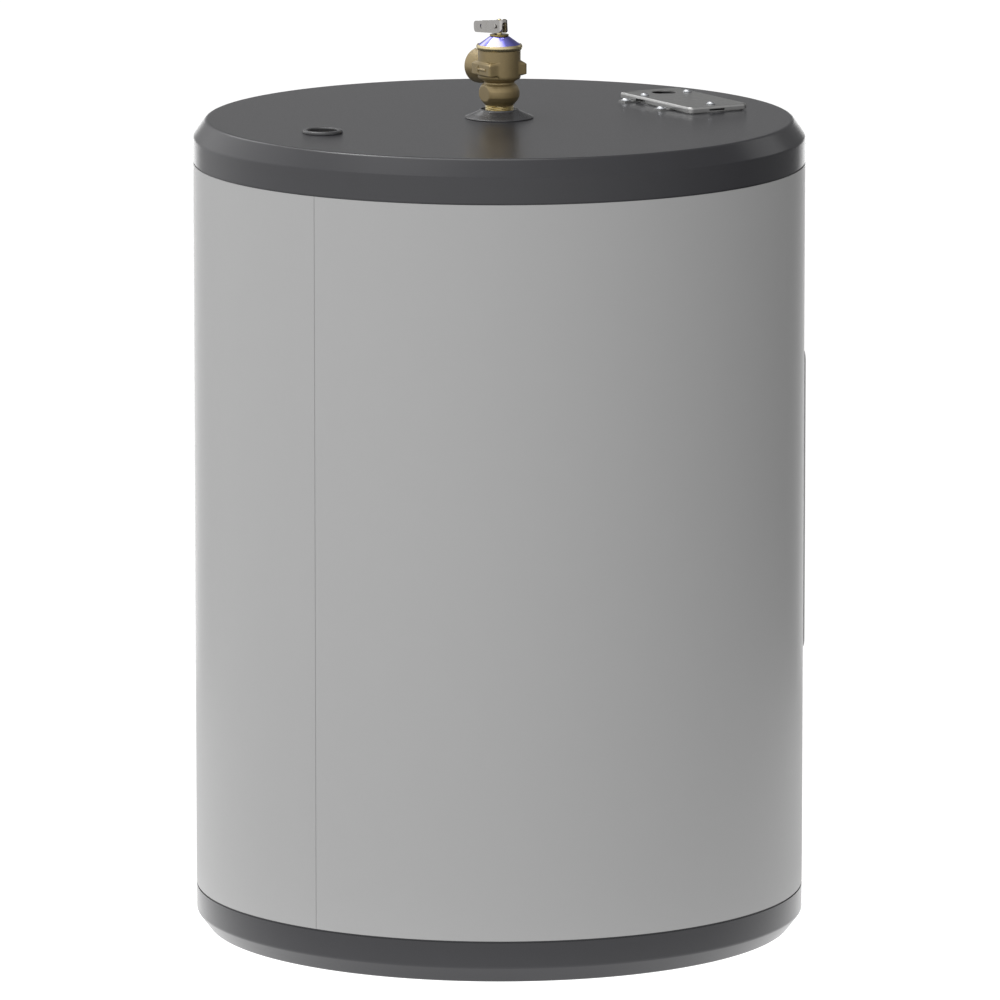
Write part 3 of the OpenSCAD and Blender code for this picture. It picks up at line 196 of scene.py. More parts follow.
def build_material(finish: Finish) -> bpy.types.Material:
    """Builds a finish as nodes that read Object coordinates, so that it stays on the piece.

    The grain is a noise or cell pattern of 1/grain_mm waves per millimetre. It drives a bump of
    relief_mm, a drift between the two colours, and a small swing of the roughness. A finish that is
    already built is taken as it is.

    Args:
        finish: the finish to build.

    Returns:
        The material.
    """
    found = bpy.data.materials.get(finish.title)
    if found:
        return found
    material = bpy.data.materials.new(finish.title)
    material.use_nodes = True
    tree = material.node_tree
    tree.nodes.clear()
    place = add(tree, "ShaderNodeTexCoord").outputs["Object"]
    stretch = STRETCH.get(finish.grain, (1, 1, 1))
    place = add(tree, "ShaderNodeMapping", {"Vector": place, "Scale": stretch}).outputs[0]
    waves = 1 / (finish.grain_mm * MM)
    if finish.grain in (Grain.SPANGLE, Grain.CELLS):
        cells = add(tree, "ShaderNodeTexVoronoi", {"Vector": place, "Scale": waves, "Randomness": 1.0})
        shape = cells.outputs["Distance" if finish.grain is Grain.CELLS else "Color"]
        if finish.grain is Grain.SPANGLE:
            shape = add(tree, "ShaderNodeSeparateColor", {"Color": shape}).outputs[0]
    else:
        octaves = 3.0 if finish.grain in (Grain.CAST, Grain.FIBRES) else 1.0
        noise = {"Vector": place, "Scale": waves, "Detail": octaves}
        shape = add(tree, "ShaderNodeTexNoise", noise).outputs["Fac"]
    noise = {"Vector": place, "Scale": waves / BROAD_WIDTH, "Detail": 2.0}
    broad = add(tree, "ShaderNodeTexNoise", noise).outputs["Fac"]
    mixed = add(tree, "ShaderNodeMath", {0: shape, 1: FINE_SHARE}, operation="MULTIPLY").outputs[0]
    mixed = add(tree, "ShaderNodeMath", {0: broad, 1: BROAD_SHARE, 2: mixed}, operation="MULTIPLY_ADD").outputs[0]
    ramp = {"Value": mixed, "From Min": DRIFT_FROM, "From Max": DRIFT_TO, "To Max": finish.drift}
    share = add(tree, "ShaderNodeMapRange", ramp)
    first, second = (linear(code) for code in finish.hexes)
    # Sockets 0, 6 and 7 are the share and the two colours, and output 2 is their mix.
    colour = add(tree, "ShaderNodeMix", {0: share.outputs[0], 6: first, 7: second}, data_type="RGBA")
    low = max(LEAST_ROUGHNESS, finish.roughness - finish.gloss_swing)
    ramp = {"Value": shape, "To Min": low, "To Max": finish.roughness + finish.gloss_swing}
    rough = add(tree, "ShaderNodeMapRange", ramp).outputs[0]
    bump = add(tree, "ShaderNodeBump", {"Height": shape, "Strength": 1.0, "Distance": finish.relief_mm * MM})
    surface = add(
        tree,
        "ShaderNodeBsdfPrincipled",
        {
            "Base Color": colour.outputs[2],
            "Roughness": rough,
            "Normal": bump.outputs[0],
            "Metallic": finish.metallic,
            "IOR": finish.ior,
            "Coat Weight": finish.coat,
            "Coat Roughness": finish.coat_roughness,
        },
    )
    add(tree, "ShaderNodeOutputMaterial", {"Surface": surface.outputs[0]})
    return material


# Each finish is keyed by the record's material slot. The comment says what the real thing gives the eye.
# A grain that is really finer than about 0.3 mm, such as lathe rings (0.1 mm) and mould spark (0.05 mm),
# is drawn as coarse as it needs to show.
FINISHES: dict[str, Finish] = {
    # Smooth epoxy powder coat on steel: a near-black grey, satin, with the faint waves of the melted powder.
    "dark_powder_coat": Finish("powder_coated_steel", ("2c2c2f", "29292b"), Grain.PEEL, 1.6, 0.004, 0.3,
                               ior=1.3, coat=0.33, coat_roughness=0.15, gloss_swing=0.03),
    # Baked polyester paint on steel sheet: an even mid grey with a soft sheen and faint waves.
    "jacket_paint": Finish("baked_grey_paint", ("919191", "8f8f8f"), Grain.PEEL, 2.4, 0.004, 0.38,
                           drift=0.4, gloss_swing=0.02),
    # Expanded polystyrene: white beads pressed together, dull.
    "expanded_polystyrene": Finish("polystyrene_beads", ("eceae4", "d8d6d0"), Grain.CELLS, 3.5, 0.3, 0.75),
    # Sprayed polyurethane foam: pale straw yellow with a lumpy skin.
    "polyurethane_foam": Finish("sprayed_urethane", ("d9c88c", "c2ac6a"), Grain.CELLS, 4.0, 0.5, 0.7),
    # Glass fibre batt: pale yellow crossed threads, quite dull.
    "glass_fibre_pad": Finish("glass_wool", ("e6d48a", "c9b366"), Grain.FIBRES, 0.9, 0.35, 0.9),
    # Steel plate enamelled inside and left with its dark blue overspray outside.
    "enamelled_tank_steel": Finish("enamelled_plate", ("3c4f6e", "2f3f5a"), Grain.PEEL, 3.0, 0.03, 0.3),
    # Fused steel fittings: dark grey scale.
    "weld_steel": Finish("welded_steel", ("5b5f65", "494c51"), Grain.CAST, 1.2, 0.05, 0.45, 0.9),
    # A forged hex plug, bright zinc over a turned face.
    "plug_steel": Finish("zinc_plated_plug", ("a2a2a0", "85857f"), Grain.TURNED, 0.35, 0.008, 0.35, 1.0),
    # Extruded magnesium: dull silver.
    "magnesium": Finish("extruded_magnesium", ("b8b8b4", "a4a4a0"), Grain.ROLLED, 0.6, 0.01, 0.5, 1.0),
    # Glass-filled nylon, moulded: black, soft gloss.
    "black_plastic": Finish("moulded_nylon", ("333335", "39393b"), Grain.MOULDED, 0.5, 0.002, 0.26, ior=1.6),
    # Cross-linked polyethylene: milky white with a waxy gloss.
    "white_plastic": Finish("white_polyethylene", ("e4e3dd", "d6d5cf"), Grain.MOULDED, 0.8, 0.012, 0.35),
    # Galvanised pipe thread: bright, streaked grey.
    "nipple_steel": Finish("zinc_plated_pipe", ("b4b5b3", "94958f"), Grain.TURNED, 0.5, 0.01, 0.35, 1.0),
    # Nickel-plated copper heating tube.
    "element_metal": Finish("nickel_plated_element", ("a9a7a1", "8b8983"), Grain.CAST, 0.7, 0.01, 0.3, 1.0),
    # Pressed nitrile rubber: matt black.
    "black_rubber": Finish("nitrile_rubber", ("1b1b1b", "262626"), Grain.MOULDED, 0.5, 0.02, 0.65),
    # Phenolic mouldings of the controls: hard, brown or black, and slightly glossy.
    "brown_phenolic": Finish("brown_bakelite", ("3b2419", "2c1a12"), Grain.MOULDED, 0.6, 0.012, 0.3),
    "black_phenolic": Finish("black_bakelite", ("181716", "222120"), Grain.MOULDED, 0.6, 0.012, 0.3),
    # Nickel-washed brass screws of the terminals.
    "terminal_brass": Finish("stamped_brass", ("c0a86a", "a08a52"), Grain.TURNED, 0.3, 0.008, 0.3, 1.0),
    # Tempered spring steel strip: plain bluish grey.
    "spring_clip_steel": Finish("spring_steel_strip", ("8d9096", "777a80"), Grain.ROLLED, 0.5, 0.008, 0.32, 1.0),
    # Moulded nylon of the dials and the reset button: plain and slightly dull.
    "dial_plastic": Finish("grey_dial_nylon", ("c9c6bd", "bab7ae"), Grain.MOULDED, 0.5, 0.012, 0.4),
    "red_button_plastic": Finish("red_button_nylon", ("b3231d", "9c1c17"), Grain.MOULDED, 0.5, 0.01, 0.3),
    # Extruded wire insulation: soft gloss with faint lines along it.
    "black_wire_insulation": Finish("black_wire_vinyl", ("18181a", "222224"), Grain.MOULDED, 0.6, 0.01, 0.35),
    "red_wire_insulation": Finish("red_wire_vinyl", ("b52a22", "9e221b"), Grain.MOULDED, 0.6, 0.01, 0.35),
    "blue_wire_insulation": Finish("blue_wire_vinyl", ("2a4f96", "234484"), Grain.MOULDED, 0.6, 0.01, 0.35),
    "yellow_wire_insulation": Finish("yellow_wire_vinyl", ("d9a514", "c79510"), Grain.MOULDED, 0.6, 0.01, 0.35),
    # Hot-dip galvanised sheet: cool grey with a soft patchwork of zinc crystals.
    "galvanised_steel": Finish("galvanised_sheet", ("a9a9a8", "9a9a99"), Grain.SPANGLE, 3.2, 0.004, 0.34, 1.0,
                               gloss_swing=0.05),
    # Bright zinc-plated screws.
    "zinc_screw": Finish("bright_zinc_screw", ("c3c5c8", "a5a8ac"), Grain.TURNED, 0.4, 0.006, 0.28, 1.0),
    # The painted head of the earth screw.
    "green_screw_paint": Finish("green_painted_screw", ("2f8f4a", "27793e"), Grain.PEEL, 0.8, 0.01, 0.3),
    # Forged brass after tumbling: dull olive gold with soft dimples.
    "valve_brass": Finish("forged_brass", ("8a7953", "786846"), Grain.CAST, 0.9, 0.02, 0.5, 0.8,
                          coat=0.5, coat_roughness=0.35),
    # Turned brass: cleaner and yellower than the forging, with fine rings.
    "turned_brass": Finish("lathe_turned_brass", ("cdbf96", "b9aa80"), Grain.TURNED, 0.3, 0.004, 0.27, 1.0),
    # Brass that was turned and left under old oil: olive and darker.
    "olive_brass": Finish("oiled_brass", ("8a7b4c", "6c6039"), Grain.TURNED, 0.4, 0.008, 0.3, 1.0),
    # Bright chromate over polished zinc: a mirror with a faint blue-violet tint.
    "polished_bonnet": Finish("blue_chromate_zinc", ("9a98fb", "8d8bf2"), Grain.TURNED, 0.5, 0.002, 0.16, 1.0,
                              gloss_swing=0.03),
    # Drawn spring wire and the drawn copper of the probe: streaks along the wire.
    "spring_steel": Finish("spring_wire", ("9a9a98", "7f7f7d"), Grain.ROLLED, 0.4, 0.006, 0.3, 1.0),
    "probe_copper": Finish("drawn_copper", ("b8704a", "9c5c3a"), Grain.ROLLED, 0.5, 0.008, 0.32, 1.0),
    # Rolled steel strip, bright nickel plated.
    "lever_steel": Finish("nickel_plated_strip", ("a3a19f", "918e88"), Grain.ROLLED, 0.5, 0.004, 0.28, 1.0),
}


def piece_from(name: str, surface: Surface, slot: str, body: str) -> bpy.types.Object:
    """Makes a mesh object at the origin, dresses it and lets it ride on a body.

    Args:
        name: the piece's name.
        surface: its points, and its faces, which turn left seen from outside.
        slot: the material slot whose finish it takes.
        body: the body that it moves with.

    Returns:
        The new object.
    """
    points, faces = surface
    mesh = bpy.data.meshes.new(name)
    mesh.from_pydata(points.tolist(), [], faces)
    mesh.validate()
    obj = bpy.data.objects.new(name, mesh)
    bpy.context.scene.collection.objects.link(obj)
    mesh.materials.append(build_material(FINISHES[slot]))
    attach(obj, body)
    return obj


def close_up(obj: bpy.types.Object, sharp_deg: float = 40.0) -> bpy.types.Object:
    """Merges doubles, turns every face outwards, and shades smooth except over sharp edges.

    Args:
        obj: the piece.
        sharp_deg: an edge that bends more than this stays sharp.

    Returns:
        The same object.
    """
    work = bmesh.new()
    work.from_mesh(obj.data)
    bmesh.ops.remove_doubles(work, verts=work.verts, dist=MERGE)
    bmesh.ops.dissolve_degenerate(work, edges=work.edges, dist=MERGE)
    bmesh.ops.recalc_face_normals(work, faces=work.faces)
    work.to_mesh(obj.data)
    work.free()
    obj.data.shade_smooth()
    obj.data.set_sharp_from_angle(angle=math.radians(sharp_deg))
    return obj


def grid_faces(rows: int, columns: int) -> list:
    """Four-cornered faces of a grid of points numbered row by row, whose last column joins the first.

    Face (i, j) joins points (i, j), (i, k), (i+1, k) and (i+1, j), where k is j+1, or 0 after the last.

    Args:
        rows: the number of rows.
        columns: the number of points in each row.

    Returns:
        Rows of four point numbers.
    """
    i, j = np.meshgrid(np.arange(rows - 1), np.arange(columns), indexing="ij")
    k = (j + 1) % columns
    near, far = i * columns, (i + 1) * columns
    return np.stack([near + j, near + k, far + k, far + j], -1).reshape(-1, 4).tolist()


def frame_of(axis: np.ndarray) -> tuple[np.ndarray, np.ndarray, np.ndarray]:
    """Two unit vectors square to an axis, and the axis itself made a unit vector.

    The first is level: z cross axis, or x where the axis is upright.

    Args:
        axis: any vector but zero.

    Returns:
        The three vectors, turning right-handed.
    """
    w = np.asarray(axis, float) / np.linalg.norm(axis)
    u = np.cross(UP, w)
    u = np.array([1.0, 0, 0]) if np.linalg.norm(u) < 1e-6 else u / np.linalg.norm(u)
    return u, np.cross(w, u), w


def turned(profile: np.ndarray, centre: np.ndarray, axis: np.ndarray, around: int = 96,
           radius_of: RadiusRule | None = None) -> Surface:
    """Points and faces of a profile carried round an axis.

    The point at angle a of profile row (r, h) is centre + h w + r' (cos a u + sin a v), where u, v and w
    are the axis's frame and r' is r, or radius_of(r, h, a).

    Args:
        profile: rows of radius and height, in metres.
        centre: where height 0 lies on the axis.
        axis: the direction of growing height.
        around: the number of steps round the axis.
        radius_of: changes the radius, given arrays of radius, height and angle.

    Returns:
        The points and the faces.
    """
    r, a = np.meshgrid(profile[:, 0], np.linspace(0, TURN, around, endpoint=False), indexing="ij")
    h = np.repeat(profile[:, 1][:, None], around, 1)
    if radius_of is not None:
        r = radius_of(r, h, a)
    u, v, w = frame_of(axis)
    spoke = np.cos(a)[..., None] * u + np.sin(a)[..., None] * v
    points = np.asarray(centre) + h[..., None] * w + r[..., None] * spoke
    return points.reshape(-1, 3), grid_faces(len(profile), around)


def rounded(corners: list[tuple[float, float]], radius: float | list[float], steps: int = 5) -> np.ndarray:
    """A line through corners, each inner one rounded with an arc.

    Each corner is swapped for the quadratic curve (1-t)^2 p + 2 t (1-t) b + t^2 q, where b is the corner
    and p and q lie at the rounding's reach from it, at most half-way to its neighbours.

    Args:
        corners: the corners, in mm.
        radius: the reach of each rounding in mm, or one for each corner.
        steps: the number of steps in each rounding.

    Returns:
        Rows of points, in metres.
    """
    p = np.asarray(corners, float)
    reach = np.broadcast_to(np.asarray(radius, float), (len(p),))
    t = np.linspace(0, 1, steps + 1)[:, None]
    half_way = 0.499  # a little under, so that two roundings on one side never touch
    line = [p[:1]]
    for before, at, after, want in zip(p[:-2], p[1:-1], p[2:], reach[1:-1]):
        back, on = before - at, after - at
        size = min(want, half_way * np.linalg.norm(back), half_way * np.linalg.norm(on))
        start = at + back / np.linalg.norm(back) * size
        end = at + on / np.linalg.norm(on) * size
        line.append((1 - t) ** 2 * start + 2 * t * (1 - t) * at + t**2 * end)
    line.append(p[-1:])
    return np.concatenate(line) * MM


def merged(parts: list[Surface]) -> Surface:
    """Several surfaces as one, each one's point numbers moved on by the points before it.

    Args:
        parts: the surfaces.

    Returns:
        The points and the faces of all of them.
    """
    points, faces, start = [], [], 0
    for some, rows in parts:
        points.append(some)
        faces += [[n + start for n in row] for row in rows]
        start += len(some)
    return np.concatenate(points), faces


def dressed_copy(node: str, bevel_mm: float = 0.3, sharp_deg: float = 32.0,
                 chosen: Callable[[np.ndarray], np.ndarray] | None = None) -> bpy.types.Object:
    """A merged copy of a CAD node that stands for it, with smooth faces and small rounded edges.

    Args:
        node: the node to copy.
        bevel_mm: the width of the edge rounding, or 0 for none.
        sharp_deg: an edge that bends more than this is rounded or stays sharp.
        chosen: takes the edges' middles and says which are rounded, or nothing for every sharp edge.

    Returns:
        The copy.
    """
    source, slot = FRAME["nodes"][node], SLOT_OF[node]
    sharp = math.radians(sharp_deg)
    mesh = source.data.copy()
    mesh.name = node + "_finished"
    obj = bpy.data.objects.new(node + "_finished", mesh)
    bpy.context.scene.collection.objects.link(obj)
    mesh.materials.clear()
    mesh.materials.append(build_material(FINISHES[slot]))
    work = bmesh.new()
    work.from_mesh(mesh)
    bmesh.ops.remove_doubles(work, verts=work.verts, dist=NODE_MERGE)
    bmesh.ops.dissolve_degenerate(work, edges=work.edges, dist=MERGE)
    bmesh.ops.dissolve_limit(work, angle_limit=math.radians(FLAT_DEG), verts=work.verts, edges=work.edges)
    if chosen is not None:
        weight = work.edges.layers.float.new("bevel_weight_edge")
        middles = np.array([(edge.verts[0].co + edge.verts[1].co) / 2 for edge in work.edges])
        angles = np.array([edge.calc_face_angle(0.0) for edge in work.edges])
        for edge, on in zip(work.edges, chosen(middles) & (angles > sharp)):
            edge[weight] = float(on)
    work.to_mesh(mesh)
    work.free()
    mesh.shade_smooth()
    mesh.set_sharp_from_angle(angle=sharp)
    if bevel_mm:
        bevel = obj.modifiers.new("edge_rounding", "BEVEL")
        bevel.width, bevel.angle_limit, bevel.miter_outer = bevel_mm * MM, sharp, "MITER_ARC"
        bevel.segments = 2 if chosen is None else 4
        bevel.limit_method = "ANGLE" if chosen is None else "WEIGHT"
        bevel.use_clamp_overlap = chosen is None
    even = obj.modifiers.new("even_normals", "WEIGHTED_NORMAL")
    even.keep_sharp = True
    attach(obj, source["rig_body"])
    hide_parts(node)
    LOG.info("%s: copy of the node, edges rounded by %.2f mm", node, bevel_mm)
    return obj


def soft_min(a: np.ndarray, b: np.ndarray, k: float) -> np.ndarray:
    """The smaller of two lengths with the crossing rounded: -k log(exp(-a/k) + exp(-b/k))."""
    return -k * np.logaddexp(-a / k, -b / k)


def soft_max(a: np.ndarray, b: np.ndarray, k: float) -> np.ndarray:
    """The larger of two lengths with the crossing rounded: k log(exp(a/k) + exp(b/k))."""
    return k * np.logaddexp(a / k, b / k)


def hexagon(angle: np.ndarray, flats: float) -> np.ndarray:
    """Distance from the axis to a hexagon's side: half its width over the cosine of the angle from a flat.

    Args:
        angle: the angle round the axis, with a corner at 0.
        flats: the width across the flats.

    Returns:
        The distance at each angle.
    """
    near = (angle - math.pi / 6) % (math.pi / 3)
    near = np.where(near > math.pi / 6, near - math.pi / 3, near)
    return flats / 2 / np.cos(near)


def thread(angle: np.ndarray, height: np.ndarray, pitch: float, depth: float) -> np.ndarray:
    """How deep a screw thread lies below its crest: depth (1 + cos(2 pi height/pitch - angle)) / 2."""
    return depth * 0.5 * (1 + np.cos(TURN * height / pitch - angle))


def levels(start: float, stop: float, step: float) -> np.ndarray:
    """Evenly spaced heights from start to stop, about a step apart."""
    return np.linspace(start, stop, max(2, int(round(abs(stop - start) / step)) + 1))


def threaded_end(outer: float, bore: float, back: float, thread_from: float, tip: float, pitch: float,
                 depth: float) -> tuple[np.ndarray, RadiusRule]:
    """Profile and radius rule of a pipe end: plain, then threaded with a chamfered tip, and a bore.

    The profile runs out along the outside, over the tip and back down the bore. Its radius on the thread
    is the crest less the thread's depth there, which fades in over one pitch.

    Args:
        outer: the outer radius, in mm as every length here.
        bore: the bore's radius.
        back: where the pipe starts along its axis.
        thread_from: where the thread starts.
        tip: where the pipe ends.
        pitch: the thread's pitch.
        depth: the thread's depth.

    Returns:
        The profile in metres, and the function for turned().
    """
    z = levels(thread_from, tip - 1.0, pitch / 8)
    rows = [[bore, back], [outer, back], [outer, back + 0.01], [outer, thread_from - 0.5], [outer, thread_from]]
    rows += [[outer, h] for h in z[1:]]
    rows += [[outer - depth * 1.05, tip - 0.1], [outer - depth * 1.1, tip], [bore + 0.4, tip], [bore, tip - 0.4]]
    rows += [[bore, tip - 0.5], [bore, back + 0.01], [bore, back]]

    def radius_of(r: np.ndarray, h: np.ndarray, a: np.ndarray) -> np.ndarray:
        """The radius with the thread cut into it, which fades in at its start and out at the tip.

        Args:
            r: the radius of the plain profile.
            h: the height along the axis.
            a: the angle round it.

        Returns:
            The new radius.
        """
        on = (r > (outer - depth * 0.5) * MM) & (h > thread_from * MM) & (h < (tip - 0.5) * MM)
        fade = np.clip((h / MM - thread_from) / pitch, 0, 1) * np.clip((tip - 0.2 - h / MM) / pitch + 0.3, 0, 1)
        return r - np.where(on, thread(a, h, pitch * MM, depth * MM) * fade, 0)

    return np.array(rows) * MM, radius_of


@dataclass
class ReliefValve:
    """The temperature and pressure relief valve. Lengths are in mm, heights above the cap's flat."""

    barrel_r: float = 19.5
    collar_flats: float = 32.0
    collar_foot: float = 11.9
    collar_top: float = 32.5
    pipe_r: float = 13.35
    thread_depth: float = 0.95
    neck_r: float = 13.9
    seat_h: float = 36.7
    rim_foot: float = 63.6
    rim_top: float = 67.7
    rim_r: float = 21.2
    bonnet_r: float = 20.2
    bonnet_neck: float = 9.0
    bonnet_top: float = 75.0
    block_x: float = 16.6
    block_y: float = 20.0
    block_foot: float = 39.2
    block_top: float = 52.6
    outlet_h: float = 44.5
    outlet_r: float = 16.5
    outlet_reach: float = 36.0
    outlet_bore: float = 12.35
    outlet_depth: float = 14.0
    shank_foot: float = -26.0
    way_r: float = 8.5
    chamber_r: float = 15.0
    chamber_floor: float = 37.0
    stem_r: float = 2.3
    stem_hole_r: float = 2.36
    pin_h: float = 84.0
    pin_half: float = 5.55
    trim_r: float = 31.3

    def build(self) -> None:
        """Builds every piece of the valve that stands above the cap."""
        self.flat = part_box("top_cap")[1][2] / MM
        self.build_body()
        self.build_rim()
        self.build_round_pieces()
        self.build_lever()

    def up(self, height: float = 0.0) -> np.ndarray:
        """The point of the valve's axis at a height above the cap's flat, in metres."""
        return np.array([0, 0, (self.flat + height) * MM])

    def build_body(self) -> None:
        """Forged body with its outlet and arrow, and the clean-cut thread above the cap as a piece of its own."""
        points, faces = merged([self.shank_and_barrel(), self.outlet(), self.arrow()])
        body = piece_from("relief_valve_forging", (points, faces), "valve_brass", "casing")
        close_up(body, sharp_deg=38)
        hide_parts("relief_valve_body")
        LOG.info("relief_valve_forging: %d faces", len(faces))
        profile, rule = threaded_end(outer=self.pipe_r, bore=11.6, back=4.5, thread_from=4.7,
                                     tip=self.collar_foot + 0.9, pitch=PIPE_PITCH, depth=self.thread_depth)
        ring = turned(profile, self.up(), UP, around=128, radius_of=rule)
        close_up(piece_from("relief_valve_thread", ring, "turned_brass", "casing"), sharp_deg=50)
        LOG.info("relief_valve_thread: %d rows", len(profile))

    def body_rows(self) -> np.ndarray:
        """The profile of shank, collar, barrel and the chamber inside it.

        The wrench block swells out and back over two ledges, whose height grows with q^1.6 as its share q
        goes from 0 to 1.

        Returns:
            Rows of radius, height, 1 on the collar or 0, and the share of the wrench block.
        """
        foot, top, seat, barrel = self.collar_foot, self.collar_top, self.seat_h, self.barrel_r
        rows: list[tuple[float, float, float, float]] = [(self.way_r, self.shank_foot, 0, 0)]
        rows += [(self.pipe_r - 1.2, self.shank_foot, 0, 0)]
        rows += [(self.pipe_r, h, 0, 0) for h in levels(self.shank_foot + 1, 4.6, 0.22)]
        # The shank steps in here to make room for the piece with the clean thread.
        rows += [(12.0, 4.8, 0, 0), (12.0, foot + 0.1, 0, 0)]
        rows += [(self.pipe_r - 0.5, foot - 0.2, 0, 0), (self.pipe_r - 0.3, foot + 0.3, 0, 0)]
        heights = levels(foot + 0.4, top - 0.9, 0.4)
        shape = np.interp(heights, [12.3, 13.4, 16.4, 19.6, 22.5, 25.4, 28.4, 30.2, 31.6],
                          [13.4, 14.3, 16.9, 18.5, 18.7, 18.6, 17.3, 16.0, 14.6])
        rows += [(r, h, 1, 0) for r, h in zip(shape, heights)]
        rows += [(self.neck_r + 0.35, top - 0.9, 0, 0), (self.neck_r, top - 0.4, 0, 0)]
        rows += [(self.neck_r, top + 0.6, 0, 0), (self.neck_r + 0.6, top + 1.3, 0, 0)]
        curve = rounded([(self.neck_r + 0.6, top + 1.3), (self.neck_r + 2.2, seat - 2.0),
                         (barrel - 0.5, seat - 0.3), (barrel, seat + 0.6)], 0.8) / MM
        rows += [(r, h, 0, 0) for r, h in curve]
        ledge = [0, 0.12, 0.3, 0.55, 0.8, 0.93, 1]
        rows += [(barrel, self.block_foot + 1.5 * q**1.6, 0, q) for q in ledge]
        rows += [(barrel, h, 0, 1) for h in levels(self.block_foot + 2.0, self.block_top - 3.2, 1.0)]
        rows += [(barrel, self.block_top - 2.7 * q**1.6, 0, q) for q in reversed(ledge)]
        rows += [(barrel, h, 0, 0) for h in levels(self.block_top + 0.8, self.rim_foot - 0.2, 1.5)]
        rows += [(barrel, self.rim_foot + 0.3, 0, 0), (self.chamber_r + 0.2, self.rim_foot + 0.3, 0, 0)]
        rows += [(self.chamber_r, self.rim_foot, 0, 0), (self.chamber_r, self.chamber_floor, 0, 0)]
        return np.array(rows + [(self.way_r, self.chamber_floor, 0, 0), (self.way_r, self.shank_foot, 0, 0)])

    def shank_and_barrel(self) -> Surface:
        """One surface of revolution whose radius also changes with the angle a.

        On the shank the radius is the pipe's less the thread's depth. On the collar it is the rounded
        smaller of the turned shape and two flats, which lie at half their width over |sin a|. On the
        barrel it is the rounded larger of the circle and the wrench block, a superellipse
        |x/bx|^24 + |y/by|^24 = 1, by the block's share.

        Returns:
            The points and the faces.
        """
        table, around, power = self.body_rows(), 192, 24
        r, a = np.meshgrid(table[:, 0], np.linspace(0, TURN, around, endpoint=False), indexing="ij")
        h, collar, block = (np.repeat(table[:, n][:, None], around, 1) for n in (1, 2, 3))
        on_thread = (r == self.pipe_r) & (h < self.collar_foot)
        r = r - np.where(on_thread, thread(a, h, PIPE_PITCH, self.thread_depth), 0)
        flats = self.collar_flats / 2 / np.maximum(np.abs(np.sin(a)), 0.1)
        r = np.where(collar > 0, soft_min(flats, r, 0.22), r)
        across, along = np.abs(np.cos(a) / self.block_x), np.abs(np.sin(a) / self.block_y)
        wide = soft_max(np.full_like(r, self.barrel_r), (across**power + along**power) ** (-1 / power), 0.45)
        r = np.where(block > 0, r + (wide - r) * block, r)
        points = np.stack([r * np.cos(a), r * np.sin(a), h + self.flat], -1).reshape(-1, 3) * MM
        return points, grid_faces(len(table), around)

    def outlet(self) -> Surface:
        """The outlet boss, turned about +X: flared root, rounded rim, and a tapped bore with a narrow way in.

        Returns:
            The points and the faces.
        """
        reach, bore, root, end = self.outlet_reach, self.outlet_bore, 15.0, self.outlet_reach - self.outlet_depth
        outside = rounded([(12.0, root), (self.outlet_r - 1.6, 18.0), (self.outlet_r - 0.5, 27.0),
                           (self.outlet_r, reach - 3), (self.outlet_r, reach), (bore + 1.2, reach),
                           (bore, reach - 1.2)], [0, 2, 3, 2, 1.1, 0.4, 0]) / MM
        inside = [[bore, h] for h in levels(reach - 1.4, end, 0.22)]
        deep = [[7.5, end], [7.5, root + 1], [0.01, root + 1], [0.01, root], [12.0, root]]
        profile = np.concatenate([outside, inside, deep]) * MM

        def radius_of(r: np.ndarray, h: np.ndarray, a: np.ndarray) -> np.ndarray:
            """The bore's radius with its thread, which stands inwards."""
            on = np.isclose(r, bore * MM) & (h < (reach - 1.3) * MM) & (h > (end + 0.3) * MM)
            return r - np.where(on, thread(a, h, PIPE_PITCH * MM, 0.9 * MM), 0)

        return turned(profile, self.up(self.outlet_h), np.array([1.0, 0, 0]), around=96, radius_of=radius_of)

    def arrow(self) -> Surface:
        """The raised arrow towards the outlet: its outline on the block's face, and a narrower crest above it.

        Returns:
            The points and the faces.
        """
        foot = np.array([[-9.5, -1.3], [3.4, -1.3], [3.4, -3.6], [9.5, 0], [3.4, 3.6], [3.4, 1.3], [-9.5, 1.3]])
        crest = np.array([[-8.6, -0.4], [4.1, -0.4], [4.1, -2.1], [8.0, 0], [4.1, 2.1], [4.1, 0.4], [-8.6, 0.4]])
        # Three copies of the outline: below the block's face, just above it, and at the crest.
        layers = [(foot, -0.6), (foot, 0.15), (crest, 1.15)]
        corners, middle = len(foot), self.outlet_h + 1 + self.flat
        rings = [np.column_stack([line[:, 0], np.full(corners, self.block_y + out), middle + line[:, 1]])
                 for line, out in layers]
        back, front = list(range(corners - 1, -1, -1)), list(range(2 * corners, 3 * corners))
        return np.concatenate(rings) * MM, grid_faces(len(layers), corners) + [back, front]

    def build_rim(self) -> None:
        """Polished ring that is rolled in over the bonnet's edge."""
        foot, top, under, inner = self.rim_foot, self.rim_top, self.barrel_r - 0.3, self.bonnet_r + 0.1
        corners = [(under, foot - 1.3), (self.barrel_r + 0.2, foot - 1.3), (self.rim_r - 0.5, foot - 0.2),
                   (self.rim_r, foot + 1.4), (self.rim_r, top - 1.6), (self.rim_r - 0.9, top),
                   (self.bonnet_r - 0.9, top - 0.1), (self.bonnet_r - 1.0, top - 0.6), (inner, top - 0.9),
                   (inner, foot + 0.6), (under, foot + 0.6), (under, foot - 1.3)]
        ring = turned(rounded(corners, 0.7), self.up(), UP, around=160)
        close_up(piece_from("relief_valve_rim", ring, "turned_brass", "casing"), sharp_deg=60)
        LOG.info("relief_valve_rim: rolled ring, radius %.1f mm", self.rim_r)

